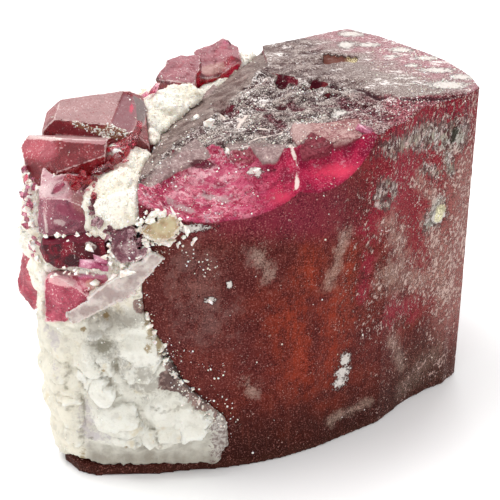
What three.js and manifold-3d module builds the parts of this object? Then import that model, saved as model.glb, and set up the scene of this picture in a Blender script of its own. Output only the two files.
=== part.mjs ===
// A tourmaline crystal in its albite matrix, in millimetres, standing on a flat base with +Z up.
// One big prism with a broken, sloping top, white massive albite down its left side, and a
// family of smaller tourmaline crystals, a feldspar grain and a thin albite blade set in it.
import * as THREE from "three";
import { ConvexGeometry } from "three/addons/geometries/ConvexGeometry.js";
import { mergeVertices } from "three/addons/utils/BufferGeometryUtils.js";
import Module from "manifold-3d";

const wasm = await Module();
wasm.setup();

// Driving dimensions
const GAP = 0.3; // seam between two pieces that touch
const CRYSTAL_HEIGHT = 35; // top of the big prism's level corner
const SLOPE = { level: 34, perX: 0.1, perY: 0.1 }; // height of the corroded, tilted top
const RELIEF = 0.45; // height of the relief on it
const RELIEF_CELL = 1.7; // how finely that relief is faceted
const SIDE_DIP = 0.3; // how much the narrow left part of the top falls, per millimetre
const FOOT_HEIGHT = 1.2; // the prism's ledge that reaches out under the matrix
const TO_CENTRE = [-0.2, 1.05, 0]; // puts the origin at the middle of the base

// Outline of the big prism seen from above, counter-clockwise
const PRISM = [
  [-10.4, -18.7], [-10.2, -20.4], [-2.8, -19.6], [0, -18.9], [3.3, -17.8], [6.7, -16.1],
  [10.3, -13.7], [13.9, -11.3], [16.9, -7.6], [19.9, -5], [21.9, -3.7], [23.8, -1.4],
  [23.4, 2.3], [21.6, 7.3], [19.2, 10.9], [15.2, 16.1], [11.5, 19.3],
  [1.4, 12.7], [-4, 4.3], [-6.8, 0.1], [-9.1, -5.6], [-10.5, -15.4],
];

// The level corner of the top, from above; its near side is the step down to the slope
const LEVEL_CORNER = [
  [15.5, -4.5], [23, -2.6], [40, -2.6], [40, 40], [-6, 40], [1.4, 12.7], [2.1, 3.9], [7.9, 0.7], [11.5, -1.5],
];

// The prism's ledge under the matrix, from above
const FOOT = [
  [-19.2, -18.2], [-17.5, -20.1], [-15.8, -20.8], [-9.3, -20.5], [-1, -19], [-4, -14], [-11, -12], [-17.5, -14],
];

// The bay in the prism's lower left front that the matrix fills, seen from the front (x, z)
const BAY = [
  [-11.2, 20.8], [-30, 20.8], [-30, FOOT_HEIGHT], [-3.6, FOOT_HEIGHT], [-2.3, 3.7], [-2.6, 6.3],
  [-6.4, 10.5], [-8.7, 15.8],
];
const BAY_DEPTH = [-26, -9]; // from the front to where it dies out, in y

// Shell-shaped breaks along the front of the top edge: centre and radius
const BREAKS = [
  [-3.5, -19.4, 39, 10.6],
  [-0.7, -20.6, 39.4, 11],
  [8.3, -18, 36.4, 7],
];

// Corrosion pits in the top: centre, radius and squash along z
const PITS = [
  [3.3, 1.5, 34.9, 1.7, 0.8],
  [6.7, 0.2, 35, 1.4, 0.8],
  [-2.5, -4.7, 33.7, 1.3, 0.8],
  [-1, 1, 34.4, 1.1, 0.7],
];

// Small chips out of the right-hand vertical edge: height and half-width
const CHIPS = [
  [31.6, 0.8],
  [24.6, 0.7],
  [11.6, 0.9],
  [6.8, 0.7],
];

// Crystals given by their faces, as azimuth and dip of the face's normal in degrees and its
// distance from the centre, in millimetres
const UPPER_BACK = {
  centre: [-15, -7.5, 33],
  faces: [
    [-57, 19.6, 2], [-44.5, 24, 2.1], [-13, 46, 3.1], [-167, 42, 4.5], [-83, 88, 2.7],
    [117, 66, 2.7], [6, 83, 4.6], [0, 180, 3.2], [180, 88, 5.2],
  ],
};
const UPPER_FRONT = {
  centre: [-17.5, -12.5, 32],
  faces: [
    [80, 18, 1.7], [-89.5, 58.8, 2.3], [-118.5, 50.6, 2.5], [-117.6, 78, 2.8], [-71.6, 114, 2.6],
    [121, 98, 1.9], [197, 97, 4.2], [0, 180, 2.6], [1, 97, 3.6],
  ],
};
const MIDDLE = {
  centre: [-18, -16.6, 28.5],
  faces: [
    [-79, 30, 1.9], [-45.6, 38.6, 2], [-85, 88, 1.5], [-10, 80, 2.6], [180, 84.6, 1.9],
    [-136, 84, 1.9], [0, 180, 2.4], [90, 89, 2.5],
  ],
};

// Crystals and grains given by their corners
const HOLLOW_CORNERS = [
  [-19.6, -19, 25.6], [-16.9, -19.4, 26], [-13.6, -19.6, 26.3], [-13.5, -19.9, 24.6], [-16.2, -19.7, 23.6],
  [-18.2, -19.3, 23.2], [-19.3, -18.9, 23.6], [-20, -18.4, 24.8],
  [-19.6, -15.5, 26.6], [-13.6, -15.5, 26.8], [-13.5, -15.5, 24], [-19.4, -15.5, 23.4],
];
const CORRODED_CORNERS = [
  [-13.1, -20, 27.2], [-12, -19.8, 28], [-10.9, -20, 28], [-9.7, -20.5, 27.2], [-9.4, -20.8, 26],
  [-10.2, -21, 24.9], [-11.9, -20.9, 24.5], [-13, -20.6, 25.2],
  [-13.2, -17.5, 26.8], [-11, -17.5, 27.6], [-11, -17.5, 25], [-13.2, -17.5, 25],
];
const LOWER_CORNERS = [
  [-19.5, -19.5, 22.1], [-19.7, -20.2, 17.9], [-17.7, -20.8, 18.2], [-15, -20.8, 20.6],
  [-16.2, -20.4, 21.5], [-17.8, -20, 22.4], [-18.9, -19.4, 22.6],
  [-19.2, -16.5, 21.8], [-19.4, -16.8, 18], [-15, -16.8, 19], [-15.5, -16.5, 22],
];
const MAGENTA_CORNERS = [
  [-16.2, -19.3, 22.4], [-13.1, -19.4, 22.6], [-13.2, -20, 22.1], [-14.9, -20.2, 21.7],
  [-16.1, -20.4, 21.2], [-18.2, -18.5, 22.2], [-13.2, -17, 20], [-17.5, -16.5, 20],
];
const SLIVER_CORNERS = [
  [-22.5, -13.5, 22.4], [-21.6, -14.5, 21.8], [-21.2, -15, 20.5], [-21, -15.5, 18.8],
  [-20.6, -16, 17.3], [-21.7, -15.5, 16.5], [-22.2, -15, 17.4], [-23.2, -14, 17.7],
  [-23.4, -13.5, 18.9], [-22.9, -13.5, 20.5],
  [-20.4, -12.5, 21.5], [-20, -12.5, 17.5], [-21.5, -11.5, 19],
];
const REAR_LEFT_CORNERS = [
  [-10.1, 3, 34.2], [-9.8, 4, 34.9], [-9.1, 5, 35.1], [-8.8, 6.5, 35.3], [-7.9, 7.5, 35.3],
  [-6.3, 8, 35.3], [-5.4, 7.5, 35.5], [-5.4, 5, 34.9], [-5.7, 3.5, 34.3], [-6, 2.4, 34],
  [-7.2, 1.9, 34.3], [-8.3, 1.9, 34.5],
  [-9.6, 3, 31.5], [-6, 2.8, 31.5], [-5.2, 7, 31.5], [-8.5, 7.5, 31.5],
];
const REAR_RIGHT_CORNERS = [
  [-6.3, 9, 35.5], [-3.8, 11, 36], [-3.1, 12, 35.9], [-2.4, 12, 35.7], [-1.2, 11.5, 35.1],
  [-1.2, 10, 34.8], [-1.2, 9, 34.2], [-2.2, 7.7, 33.9], [-3.4, 6, 33.5], [-4.6, 5, 33.7],
  [-5.6, 4.4, 34], [-5.7, 6, 34.7],
  [-5.6, 5.5, 31.5], [-2.2, 9.5, 31.5], [-2.5, 12, 31.5], [-6, 9.5, 31.5],
];
const GRAIN_CORNERS = [
  [-10.6, -20.4, 28.5], [-9.2, -20.2, 29.3], [-7.8, -20.2, 29.6], [-6.8, -20.6, 29.1],
  [-6.5, -21, 28.3], [-7.2, -21.1, 27.4], [-8.5, -21.2, 27.1], [-9.7, -21, 27.7],
  [-10, -19.4, 27.8], [-8, -19.2, 29], [-8, -19.4, 27.5],
];
const BLADE_CORNERS = [
  [-9.3, -20.9, 25.7], [-8.2, -20.9, 25.1], [-11.6, -21.3, 22.7], [-11, -21.4, 21.7],
  [-17.6, -21.2, 19.1], [-17, -21.2, 18.3], [-9, -20.4, 25], [-17, -20.4, 18.6],
];

// Main masses of the matrix, as the corners of their convex cores
const MATRIX_CORES = [
  [ // lower front, beside and in front of the prism
    [-20, -17.8, 1.5], [-20.6, -16.2, 4], [-20.4, -16.6, 18], [-18, -19.8, 2.2], [-17.2, -19.6, 18],
    [-11.2, -20.4, 20.6], [-8.6, -20.3, 15.4], [-15, -20.3, 1.5],
    [-19.6, -8, 2], [-19.6, -8, 20], [-8, -9, 2], [-9, -9, 20],
  ],
  [ // its tongue along the foot of the prism
    [-15, -20.4, 1.5], [-16, -20, 6], [-8.6, -20.4, 12.4], [-6.4, -20.4, 10.2], [-2.8, -20.1, 6.4],
    [-2.3, -19.9, 3.8], [-3.6, -20.2, 1.5], [-3, -12, 2], [-6, -10, 8], [-12, -10, 10],
  ],
  [ // upper left, under the small crystals
    [-20.5, -17, 16], [-21.5, -14, 22], [-21.4, -12, 28], [-19, -16.8, 29.6], [-13, -17.4, 30],
    [-10.8, -19.4, 28.6], [-10.6, -20.4, 20], [-17, -19, 18], [-10.8, -6, 31.6], [-11, -13, 31],
    [-20, -5, 30.5], [-20, -5, 16], [-10, -8, 16],
  ],
  [ // back left, along the prism's hidden flank
    [-19.4, -8, 0], [-18.6, 0, 0], [-15, 6, 0], [-9.6, 11.5, 0], [0, 13.6, 0], [1, 12, 0], [-8, -4, 0],
    [-19, -7, 29], [-17.4, -1, 31], [-13.4, 4.4, 31], [-8.4, 9.4, 32.6], [-0.6, 12.8, 33], [0.6, 11.6, 33.4],
    [-8.6, -4, 32],
  ],
  [ // base
    [-19, -14, 0], [-17.6, -17.4, 0], [-19.6, -8, 0], [-5, -9, 0], [-5, -2, 0], [-19.4, -16, 3], [-19.8, -9, 3],
    [-5, -9, 3], [-5, -2, 3],
  ],
];

// Swellings of the matrix, broad and shallow where they overlap: centre, radius and squash along z
const LUMPS = [
  // the cream strip between the small crystals and the prism
  [-12.6, -15.4, 28.9, 3, 0.8], [-12.4, -11.6, 29.8, 3, 0.75], [-11.6, -7.4, 30.4, 2.9, 0.8],
  [-11, -3.4, 31, 2.8, 0.85], [-9.4, -0.6, 31.6, 2.7, 0.85], [-7.2, 2, 32.2, 2.1, 0.85],
  [-3.2, 8.6, 32.6, 1.8, 0.9], [-0.4, 11.4, 33, 1.6, 0.8],
  // upper front
  [-12, -17.4, 28.2, 2.9, 0.85], [-13, -17, 25, 3, 0.9], [-11.4, -18, 22.8, 2.6, 0.9], [-14, -17.4, 20.6, 3.2, 0.8],
  [-18.6, -15.4, 21, 3, 1], [-19.6, -13.6, 27, 2.8, 1.1], [-19.8, -12.8, 23.4, 2.8, 1.1], [-19.6, -11.6, 30, 2.6, 0.8],
  // lower front
  [-17.2, -16.8, 18.4, 3.5, 0.9], [-13.6, -17.6, 17.6, 3.5, 0.9], [-11.4, -18, 19, 2.9, 1],
  [-17.4, -16.3, 14.8, 3.6, 1], [-14, -17.2, 13.8, 3.8, 0.9], [-11.1, -17.8, 15, 3.2, 1],
  [-17.5, -16.6, 10.9, 3.6, 0.9], [-13.4, -17, 10.2, 3.9, 0.9], [-10, -17.8, 11.4, 3.2, 0.9],
  [-17.2, -16.5, 7.2, 3.8, 0.9], [-12.8, -17.5, 6.8, 3.7, 1], [-9, -17.7, 7.8, 3.3, 0.9],
  [-16.8, -16.6, 4.2, 3.7, 0.75], [-12.4, -17.6, 3.9, 3.5, 0.7], [-8.8, -17.9, 4.4, 3.2, 0.9],
  [-5.6, -17.9, 4.6, 2.8, 1],
];

// The way along the hidden back of the matrix, from above, and the knobs it is broken into
const BACK_WAY = [[-17.4, -14], [-17.4, -8], [-16.4, -1], [-12.6, 5], [-7.6, 9.6], [-1, 11.2]];
const BACK_KNOBS = { along: 7, up: 6, radius: 3.5 };

// A solid for boolean work from a three.js geometry.
function solidOf(geometry) {
  const bare = geometry.clone();
  bare.deleteAttribute("normal");
  bare.deleteAttribute("uv");
  const merged = mergeVertices(bare, 1e-4);
  const mesh = new wasm.Mesh({
    numProp: 3,
    vertProperties: Float32Array.from(merged.attributes.position.array),
    triVerts: Uint32Array.from(merged.index.array),
  });
  mesh.merge();
  return new wasm.Manifold(mesh);
}

// The three.js geometry of a solid, flat shaded.
function geometryOf(solid) {
  const mesh = solid.getMesh();
  const geometry = new THREE.BufferGeometry();
  const positions = new Float32Array(mesh.numVert * 3);
  for (let i = 0; i < mesh.numVert; i++)
    for (let k = 0; k < 3; k++) positions[3 * i + k] = mesh.vertProperties[mesh.numProp * i + k];
  geometry.setAttribute("position", new THREE.BufferAttribute(positions, 3));
  geometry.setIndex(Array.from(mesh.triVerts));
  const flat = geometry.toNonIndexed();
  flat.computeVertexNormals();
  return flat;
}

const union = (solids) => solids.reduce((a, b) => a.add(b));

// The biggest connected body of a solid: crumbs left by a cut are dropped.
function biggest(solid) {
  const bodies = solid.decompose();
  return bodies.reduce((a, b) => (Math.abs(b.volume()) > Math.abs(a.volume()) ? b : a));
}

// Twelve even directions, the corners of an icosahedron, to swell a convex shape with.
const DIRECTIONS = (() => {
  const at = new THREE.IcosahedronGeometry(1, 0).attributes.position;
  const seen = new Map();
  for (let i = 0; i < at.count; i++) {
    const v = new THREE.Vector3().fromBufferAttribute(at, i);
    seen.set(v.toArray().map((n) => n.toFixed(3)).join(), v);
  }
  return [...seen.values()];
})();

// A convex solid from its corners, swollen by grow.
function convex(corners, grow = 0) {
  const points = corners.map((c) => new THREE.Vector3(...c));
  const swollen = grow
    ? points.flatMap((p) => DIRECTIONS.map((d) => p.clone().addScaledVector(d, grow * 1.25)))
    : points;
  return solidOf(new ConvexGeometry(swollen));
}

// A crystal as the block left inside its faces, each moved out by grow.
function faceted({ centre, faces }, grow = 0) {
  let block = solidOf(new THREE.BoxGeometry(40, 40, 40));
  for (const [azimuth, dip, distance] of faces) {
    const a = THREE.MathUtils.degToRad(azimuth);
    const d = THREE.MathUtils.degToRad(dip);
    const n = [Math.cos(a) * Math.sin(d), Math.sin(a) * Math.sin(d), Math.cos(d)];
    block = block.trimByPlane(n.map((v) => -v), -(distance + grow));
  }
  return block.translate(centre);
}

// A closed outline moved outward by an amount, corner by corner.
function offsetOutline(points, amount) {
  if (!amount) return points.map(([x, y]) => new THREE.Vector2(x, y));
  const n = points.length;
  return points.map(([x, y], i) => {
    const before = new THREE.Vector2(...points[(i + n - 1) % n]);
    const after = new THREE.Vector2(...points[(i + 1) % n]);
    const here = new THREE.Vector2(x, y);
    const a = here.clone().sub(before).normalize();
    const b = after.clone().sub(here).normalize();
    const normal = new THREE.Vector2(a.y + b.y, -a.x - b.x).normalize();
    const reach = amount / Math.max(0.5, normal.dot(new THREE.Vector2(a.y, -a.x)));
    return here.addScaledVector(normal, reach);
  });
}

// An upright block with an outline, from one height to another.
function upright(outline, bottom, top, grow = 0) {
  const shape = new THREE.Shape(offsetOutline(outline, grow));
  const geometry = new THREE.ExtrudeGeometry(shape, { depth: top - bottom, bevelEnabled: false });
  return solidOf(geometry.translate(0, 0, bottom));
}

// Height of the corroded relief on the sloping top: long ridges that step down to the front.
function relief(x, y) {
  const along = 0.82 * x + 0.57 * y;
  const across = -0.57 * x + 0.82 * y;
  const ridges = Math.abs(Math.sin(across * 0.78 + 0.9 * Math.sin(along * 0.31)));
  const lumps = Math.sin(along * 1.1 + 1.7 * Math.sin(across * 0.6)) * Math.sin(across * 1.3 + 0.4);
  return RELIEF * (0.9 - ridges * 1.3 + lumps * 0.55);
}

// A block whose top follows the slope and its relief.
function corrodedBlock(grow) {
  const cells = Math.round(60 / RELIEF_CELL);
  const box = new THREE.BoxGeometry(60, 60, 80, cells, cells, 1).translate(0, 0, -40);
  const at = box.attributes.position;
  for (let i = 0; i < at.count; i++) {
    if (at.getZ(i) < -1) continue;
    const [x, y] = [at.getX(i), at.getY(i)];
    const side = Math.min(0, (x + 4.4) * 0.877 - (y + 5.5) * 0.481) * SIDE_DIP;
    const calm = side < -0.15 ? 0.25 : 1;
    at.setZ(i, SLOPE.level + SLOPE.perX * x + SLOPE.perY * y + side + calm * relief(x, y) + grow);
  }
  return solidOf(box);
}

// The big prism: its tilted, corroded top, the level corner behind it, the shell-shaped breaks
// along its front edge, the bay that the matrix fills and the ledge under the matrix.
function bigPrism(grow = 0) {
  const block = upright(PRISM, 0, CRYSTAL_HEIGHT + grow, grow);
  let prism = block.intersect(corrodedBlock(grow)).add(block.intersect(upright(LEVEL_CORNER, 0, 60, grow)));
  for (const [x, y, z, radius] of BREAKS)
    prism = prism.subtract(solidOf(new THREE.IcosahedronGeometry(radius - grow, 6).translate(x, y, z)));
  prism = prism.add(convex(RIM_CORNERS, grow));
  for (const [x, y, z, radius, squash] of PITS)
    prism = prism.subtract(
      solidOf(new THREE.IcosahedronGeometry(radius - grow, 1).scale(1.2, 0.9, squash).translate(x, y, z)),
    );
  for (const [z, size] of CHIPS)
    prism = prism.subtract(
      solidOf(new THREE.OctahedronGeometry(size * 2 - grow).rotateZ(0.5).translate(24.9, -2.4, z)),
    );
  // The bay is drawn from the front, so it is laid down and moved to its place
  const bay = upright(BAY, 0, BAY_DEPTH[1] - BAY_DEPTH[0], -grow).rotate([90, 0, 0]);
  prism = prism.subtract(bay.translate([0, BAY_DEPTH[1] - grow, 0]));
  return prism.add(upright(FOOT, 0, FOOT_HEIGHT + grow, grow));
}

// A raised, wedge-shaped piece left standing on the rim between two breaks
const RIM_CORNERS = [
  [4.3, -9, 33.7], [5.9, -8.9, 34.1], [10.8, -9.4, 34.4], [10.8, -11.5, 33.8], [8.1, -12.6, 33.3],
  [4.5, -12.3, 33], [4.8, -13.1, 32.2], [4.4, -9, 31], [10.6, -9.4, 31], [8, -12, 31.2], [5, -12.4, 31],
];

const crystals = {
  upper_left_crystals: (grow) => faceted(UPPER_BACK, grow).add(faceted(UPPER_FRONT, grow)),
  middle_left_crystal: (grow) => faceted(MIDDLE, grow),
  hollow_left_crystal: (grow) => convex(HOLLOW_CORNERS, grow),
  corroded_left_crystal: (grow) => convex(CORRODED_CORNERS, grow),
  lower_left_crystals: (grow) => convex(LOWER_CORNERS, grow).add(convex(MAGENTA_CORNERS, grow)),
  left_edge_crystal: (grow) => convex(SLIVER_CORNERS, grow),
  rear_crystals: (grow) => convex(REAR_LEFT_CORNERS, grow).add(convex(REAR_RIGHT_CORNERS, grow)),
  feldspar_grain: (grow) => convex(GRAIN_CORNERS, grow),
  albite_blade: (grow) => convex(BLADE_CORNERS, grow),
};

const pieces = { main_crystal: bigPrism() };

// Each small piece gives way to the pieces before it
const swollen = [bigPrism(GAP)];
for (const [name, shape] of Object.entries(crystals)) {
  let piece = shape(0);
  for (const other of swollen) piece = piece.subtract(other);
  pieces[name] = biggest(piece);
  swollen.push(shape(GAP));
}

// Broken, angular knobs over the whole back of the matrix, set out by its way and height.
function backKnobs() {
  const way = new THREE.CatmullRomCurve3(BACK_WAY.map(([x, y]) => new THREE.Vector3(x, y, 0)));
  const knobs = [];
  for (let i = 0; i < BACK_KNOBS.along; i++)
    for (let k = 0; k < BACK_KNOBS.up; k++) {
      const n = i * BACK_KNOBS.up + k;
      const shift = 0.5 + 0.5 * (k % 2) + 0.3 * Math.sin(n * 5.3);
      const at = way.getPointAt(THREE.MathUtils.clamp((i + shift - 0.4) / BACK_KNOBS.along, 0, 1));
      const height = ((k + 0.55 + 0.2 * Math.sin(n * 2.1)) / BACK_KNOBS.up) * 31;
      knobs.push([at.x, at.y, height, BACK_KNOBS.radius * (1 + 0.16 * Math.sin(n * 3.7)), 0.9]);
    }
  return knobs;
}

// One swelling of the matrix: a ball with an uneven, knobbly skin, turned its own way.
function roughLump([x, y, z, radius, squash], turn, detail) {
  const ball = new THREE.IcosahedronGeometry(radius, detail);
  const at = ball.attributes.position;
  const v = new THREE.Vector3();
  for (let i = 0; i < at.count; i++) {
    v.fromBufferAttribute(at, i);
    const [a, b, c] = v.toArray().map((n) => n * 1.9 + turn);
    const knob = Math.sin(a + Math.sin(b)) * Math.sin(b * 1.3) + 0.6 * Math.sin(c * 1.7 + a);
    v.multiplyScalar(1 + 0.055 * knob);
    at.setXYZ(i, v.x, v.y, v.z);
  }
  return ball.rotateZ(turn).rotateX(turn * 0.7).scale(1, 1, squash).translate(x, y, z);
}

let matrix = union([
  ...MATRIX_CORES.map((corners) => convex(corners)),
  ...LUMPS.map((lump, i) => solidOf(roughLump(lump, i, 2))),
  ...backKnobs().map((lump, i) => solidOf(roughLump(lump, i, 1))),
]).trimByPlane([0, 0, 1], 0);
for (const other of swollen) matrix = matrix.subtract(other);
pieces.albite_matrix = biggest(matrix);

const COLOURS = {
  main_crystal: 0x7a2a30,
  albite_matrix: 0xece6d8,
  feldspar_grain: 0xc8a880,
  albite_blade: 0xb8b0ac,
};

const specimen = new THREE.Group();
for (const [name, solid] of Object.entries(pieces)) {
  const material = new THREE.MeshStandardMaterial({ color: COLOURS[name] ?? 0xb84a60, flatShading: true });
  const mesh = new THREE.Mesh(geometryOf(solid).translate(...TO_CENTRE), material);
  mesh.name = name;
  specimen.add(mesh);
}

export default specimen;
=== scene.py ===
# %% [markdown]
# # A tourmaline crystal in its albite
# This is a hand specimen, about 47 mm wide: one thick prism of red tourmaline with a broken top,
# white albite down its left side, and a family of small pink crystals set in the albite.
# The imported solids give each piece its true form and place. Everything below gives the pieces
# their skin: the hackly top, the sugary breaks, the frosted faces, the crumbs and the colours.
# The first step loads the solids and bakes their places into their meshes.

# %% Load the solids
import math

import bmesh
import bpy
import numpy as np
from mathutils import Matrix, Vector
from mathutils.bvhtree import BVHTree


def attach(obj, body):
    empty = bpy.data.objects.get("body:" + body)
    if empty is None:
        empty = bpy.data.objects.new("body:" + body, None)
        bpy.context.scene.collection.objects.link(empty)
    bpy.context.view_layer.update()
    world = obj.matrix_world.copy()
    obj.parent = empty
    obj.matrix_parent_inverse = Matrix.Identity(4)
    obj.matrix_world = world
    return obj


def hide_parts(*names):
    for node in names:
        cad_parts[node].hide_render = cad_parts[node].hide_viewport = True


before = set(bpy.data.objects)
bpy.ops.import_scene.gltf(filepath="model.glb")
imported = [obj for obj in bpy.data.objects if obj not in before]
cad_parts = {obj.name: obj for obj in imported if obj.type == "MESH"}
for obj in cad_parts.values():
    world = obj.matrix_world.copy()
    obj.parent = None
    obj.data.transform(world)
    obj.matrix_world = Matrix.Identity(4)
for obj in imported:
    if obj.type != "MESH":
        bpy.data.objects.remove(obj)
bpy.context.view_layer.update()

# %% [markdown]
# ## The view
# A long lens from a little above shows a small specimen without stretching its near edges. The
# camera stands in front, 27 degrees above the table. A plain camera object with a fixed place is
# the simplest way, and nothing else in the file depends on it.

# %% Set up the camera
def placed(name, data):
    """A new object in the scene."""
    thing = bpy.data.objects.new(name, data)
    bpy.context.scene.collection.objects.link(thing)
    return thing


camera = placed("camera", bpy.data.cameras.new("camera"))
camera.location = (-0.0002, -0.12195, 0.078)
camera.rotation_euler = (math.radians(63), 0, 0)
camera.data.lens = 88.99
camera.data.sensor_width = 36
camera.data.clip_start = 0.005
bpy.context.scene.camera = camera
print("the camera is", round(camera.location.length * 1000), "mm from the middle of the base")

# %% [markdown]
# ## The light
# Stones are usually shown in a light tent: white cloth all round, a lamp above, and hardly a
# shadow. A white world stands for the cloth. One large soft lamp from the upper left gives the
# faces their shape, and a smaller one from behind lights the rims of the clear crystals. The
# Standard view keeps the paper white and the reds as they are mixed.

# %% Light the tent
def soft_lamp(name, place, aim, width, power):
    """A square soft lamp, in metres and watts, that points at a spot."""
    lamp = placed(name, bpy.data.lights.new(name, "AREA"))
    lamp.data.size = width
    lamp.data.energy = power
    lamp.location = place
    lamp.rotation_euler = (Vector(place) - Vector(aim)).to_track_quat("Z", "Y").to_euler()


world = bpy.data.worlds.new("tent")
world.use_nodes = True
world.node_tree.nodes["Background"].inputs["Color"].default_value = (1.0, 1.0, 1.0, 1)
world.node_tree.nodes["Background"].inputs["Strength"].default_value = 1.0
bpy.context.scene.world = world
bpy.context.scene.view_settings.view_transform = "Standard"
soft_lamp("upper_left_lamp", (-0.20, 0.04, 0.54), (0, 0, 0.015), 0.24, 1.5)
soft_lamp("back_lamp", (0.10, 0.36, 0.38), (0, 0, 0.02), 0.24, 0.6)

# %% [markdown]
# ## Working in millimetres
# A specimen is measured in millimetres from a zero of its own, and Blender works in metres from
# the middle of the base. These small helpers read a mesh's points as a table of numbers in
# millimetres and write it back, so that all the shaping below is plain sums on whole tables.

# %% Read and write points
MIDDLE = np.array((-0.2, 1.05, 0.0))  # what is added to a measured point, in mm, to centre it


def points_of(piece):
    """The piece's points as an n by 3 table, in mm."""
    flat = np.empty(len(piece.data.vertices) * 3, np.float32)
    piece.data.vertices.foreach_get("co", flat)
    return flat.reshape(-1, 3).astype(float) * 1000 - MIDDLE


def move_points(piece, table):
    piece.data.vertices.foreach_set("co", ((table + MIDDLE) / 1000).astype(np.float32).ravel())
    piece.data.update()


def normals_of(piece):
    """The way each point faces, as unit arrows."""
    flat = np.empty(len(piece.data.vertices) * 3, np.float32)
    piece.data.vertex_normals.foreach_get("vector", flat)
    return flat.reshape(-1, 3).astype(float)


def note(piece, name, values):
    """Keeps one number for each point, for a material to read."""
    layer = piece.data.attributes.new(name, "FLOAT", "POINT")
    layer.data.foreach_set("value", np.asarray(values, np.float32))


def neighbours(piece):
    """The two ends of every edge, and how many edges each point has."""
    ends = np.empty(len(piece.data.edges) * 2, np.int64)
    piece.data.edges.foreach_get("vertices", ends)
    return *ends.reshape(-1, 2).T, np.bincount(ends, minlength=len(piece.data.vertices))


def total_round(a, b, values):
    """The sum of the values of each point's neighbours."""
    near = np.zeros_like(values)
    np.add.at(near, a, values[b])
    np.add.at(near, b, values[a])
    return near


def sunk(piece, height, times=14):
    """How far each point lies under the mean height of the ground round it, in mm."""
    a, b, count = neighbours(piece)
    ground = height.copy()
    for _ in range(times):
        ground = 0.5 * ground + 0.5 * total_round(a, b, ground) / count
    return ground - height


print("measured points move by", MIDDLE, "mm")

# %% [markdown]
# ## A fine skin over a solid
# A solid made of a few large faces can't carry fine relief. A voxel remesh wraps it in even little
# squares, but rounds its edges. So each point of the new skin is then pulled back to the nearest
# place on the solid, which brings the flat faces back and leaves edges with the slight wear that
# they have on a real stone.

# %% Wrap a solid in a skin
def settle(piece):
    """Gives a piece the mesh that its modifiers make, and takes the modifiers off."""
    bpy.context.view_layer.update()
    made = bpy.data.meshes.new_from_object(piece.evaluated_get(bpy.context.evaluated_depsgraph_get()))
    piece.modifiers.clear()
    piece.data = made


def skin(node, name, square):
    """A finely meshed copy of one solid. square is the size of its mesh, in mm."""
    piece = placed(name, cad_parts[node].data.copy())
    merged = bmesh.new()
    merged.from_mesh(piece.data)
    bmesh.ops.remove_doubles(merged, verts=merged.verts, dist=4e-6)
    merged.to_mesh(piece.data)
    solid = BVHTree.FromBMesh(merged)
    merged.free()
    remesh = piece.modifiers.new("squares", "REMESH")
    remesh.mode = "VOXEL"
    remesh.voxel_size = square / 1000
    settle(piece)
    for v in piece.data.vertices:
        v.co = solid.find_nearest(v.co)[0]
    piece.data.materials.clear()
    piece.data.update()
    return piece


def dress(piece, material, node, smooth=True):
    """Gives a finished piece its material, hangs it on the root and hides the solid it stands for, if any."""
    piece.data.materials.clear()
    piece.data.materials.append(material)
    piece.data.shade_smooth() if smooth else piece.data.shade_flat()
    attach(piece, "root")
    if node:
        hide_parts(node)
    print(piece.name, "has", len(piece.data.polygons), "faces")


# %% [markdown]
# ## Random, but always the same
# Broken stone is random at every size. Three patterns are enough for all of it: soft hills, flat
# tilted facets like a broken sugar lump, and long ridges. They are worked out for a whole table of
# points at once from a hash of whole numbers, so each run of the file gives the same stone.

# %% Hills and facets
def hashed(cell, seed):
    """A number from 0 to 1 for each cell of a grid."""
    n = (cell[:, 0] * 73856093) ^ (cell[:, 1] * 19349663) ^ (cell[:, 2] * 83492791) ^ (seed * 26544357)
    n = (n ^ (n >> 13)) * 1274126177
    n = n ^ (n >> 16)
    return (n & 65535) / 65535


def hills(p, size, seed=0, octaves=1):
    """Soft hills from -1 to 1. size, in mm, is one number or one for each axis."""
    total, full = 0, 0
    for k in range(octaves):
        q = p / (np.array(size) / 2**k)
        cell = np.floor(q).astype(np.int64)
        f = q - cell
        f = f * f * (3 - 2 * f)
        value = 0
        for corner in np.ndindex(2, 2, 2):
            share = np.prod(np.where(np.array(corner), f, 1 - f), axis=1)
            value = value + share * hashed(cell + np.array(corner), seed + 31 * k)
        total = total + (value * 2 - 1) * 0.55**k
        full += 0.55**k
    return total / full


def three(cell, seed):
    """Three numbers from 0 to 1 for each cell."""
    return np.stack([hashed(cell, seed + k) for k in range(3)], 1)


def cells_round(q):
    """The cell of each point and the 26 next to it, one after the other."""
    home = np.floor(q).astype(np.int64)
    for step in np.ndindex(3, 3, 3):
        yield home + np.array(step) - 1


def facets(p, size, seed=0):
    """Flat tilted facets from about -1 to 1: each cell of a random mosaic has its own level and tilt."""
    q = p / np.array(size)
    best = np.full(len(q), 1e9)
    level = np.zeros(len(q))
    for cell in cells_round(q):
        away = q - (cell + three(cell, seed + 1))
        far = (away * away).sum(1)
        tilt = three(cell, seed + 4) * 2 - 1
        here = (hashed(cell, seed + 7) * 2 - 1) * 0.5 + (tilt * away).sum(1) * 1.1
        level = np.where(far < best, here, level)
        best = np.minimum(far, best)
    return level


def blocks(p, size, seed=0, steep=2.5):
    """Flat-topped blocks with steep sides, from about -1 to 1, each turned, tilted and set at its
    own height, as where a stone has split along flat planes."""
    q = p / np.array(size)
    height = np.full(len(q), -9.0)
    for cell in cells_round(q):
        away = q - cell - three(cell, seed + 1)
        a, b = hashed(cell, seed + 8) * math.pi, hashed(cell, seed + 9) * math.pi
        u = away[:, 0] * np.cos(a) + away[:, 2] * np.sin(a)
        v = away[:, 2] * np.cos(a) - away[:, 0] * np.sin(a)
        w = away[:, 1] * np.cos(b) + u * np.sin(b)
        side = np.max((abs(u), abs(v), abs(w)), axis=0)
        tilt = three(cell, seed + 4) - 0.5
        here = hashed(cell, seed + 7) * 1.4 - 0.7 + (tilt * away).sum(1) - steep * np.maximum(side - 0.4, 0)
        height = np.maximum(height, here)
    return height


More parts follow.
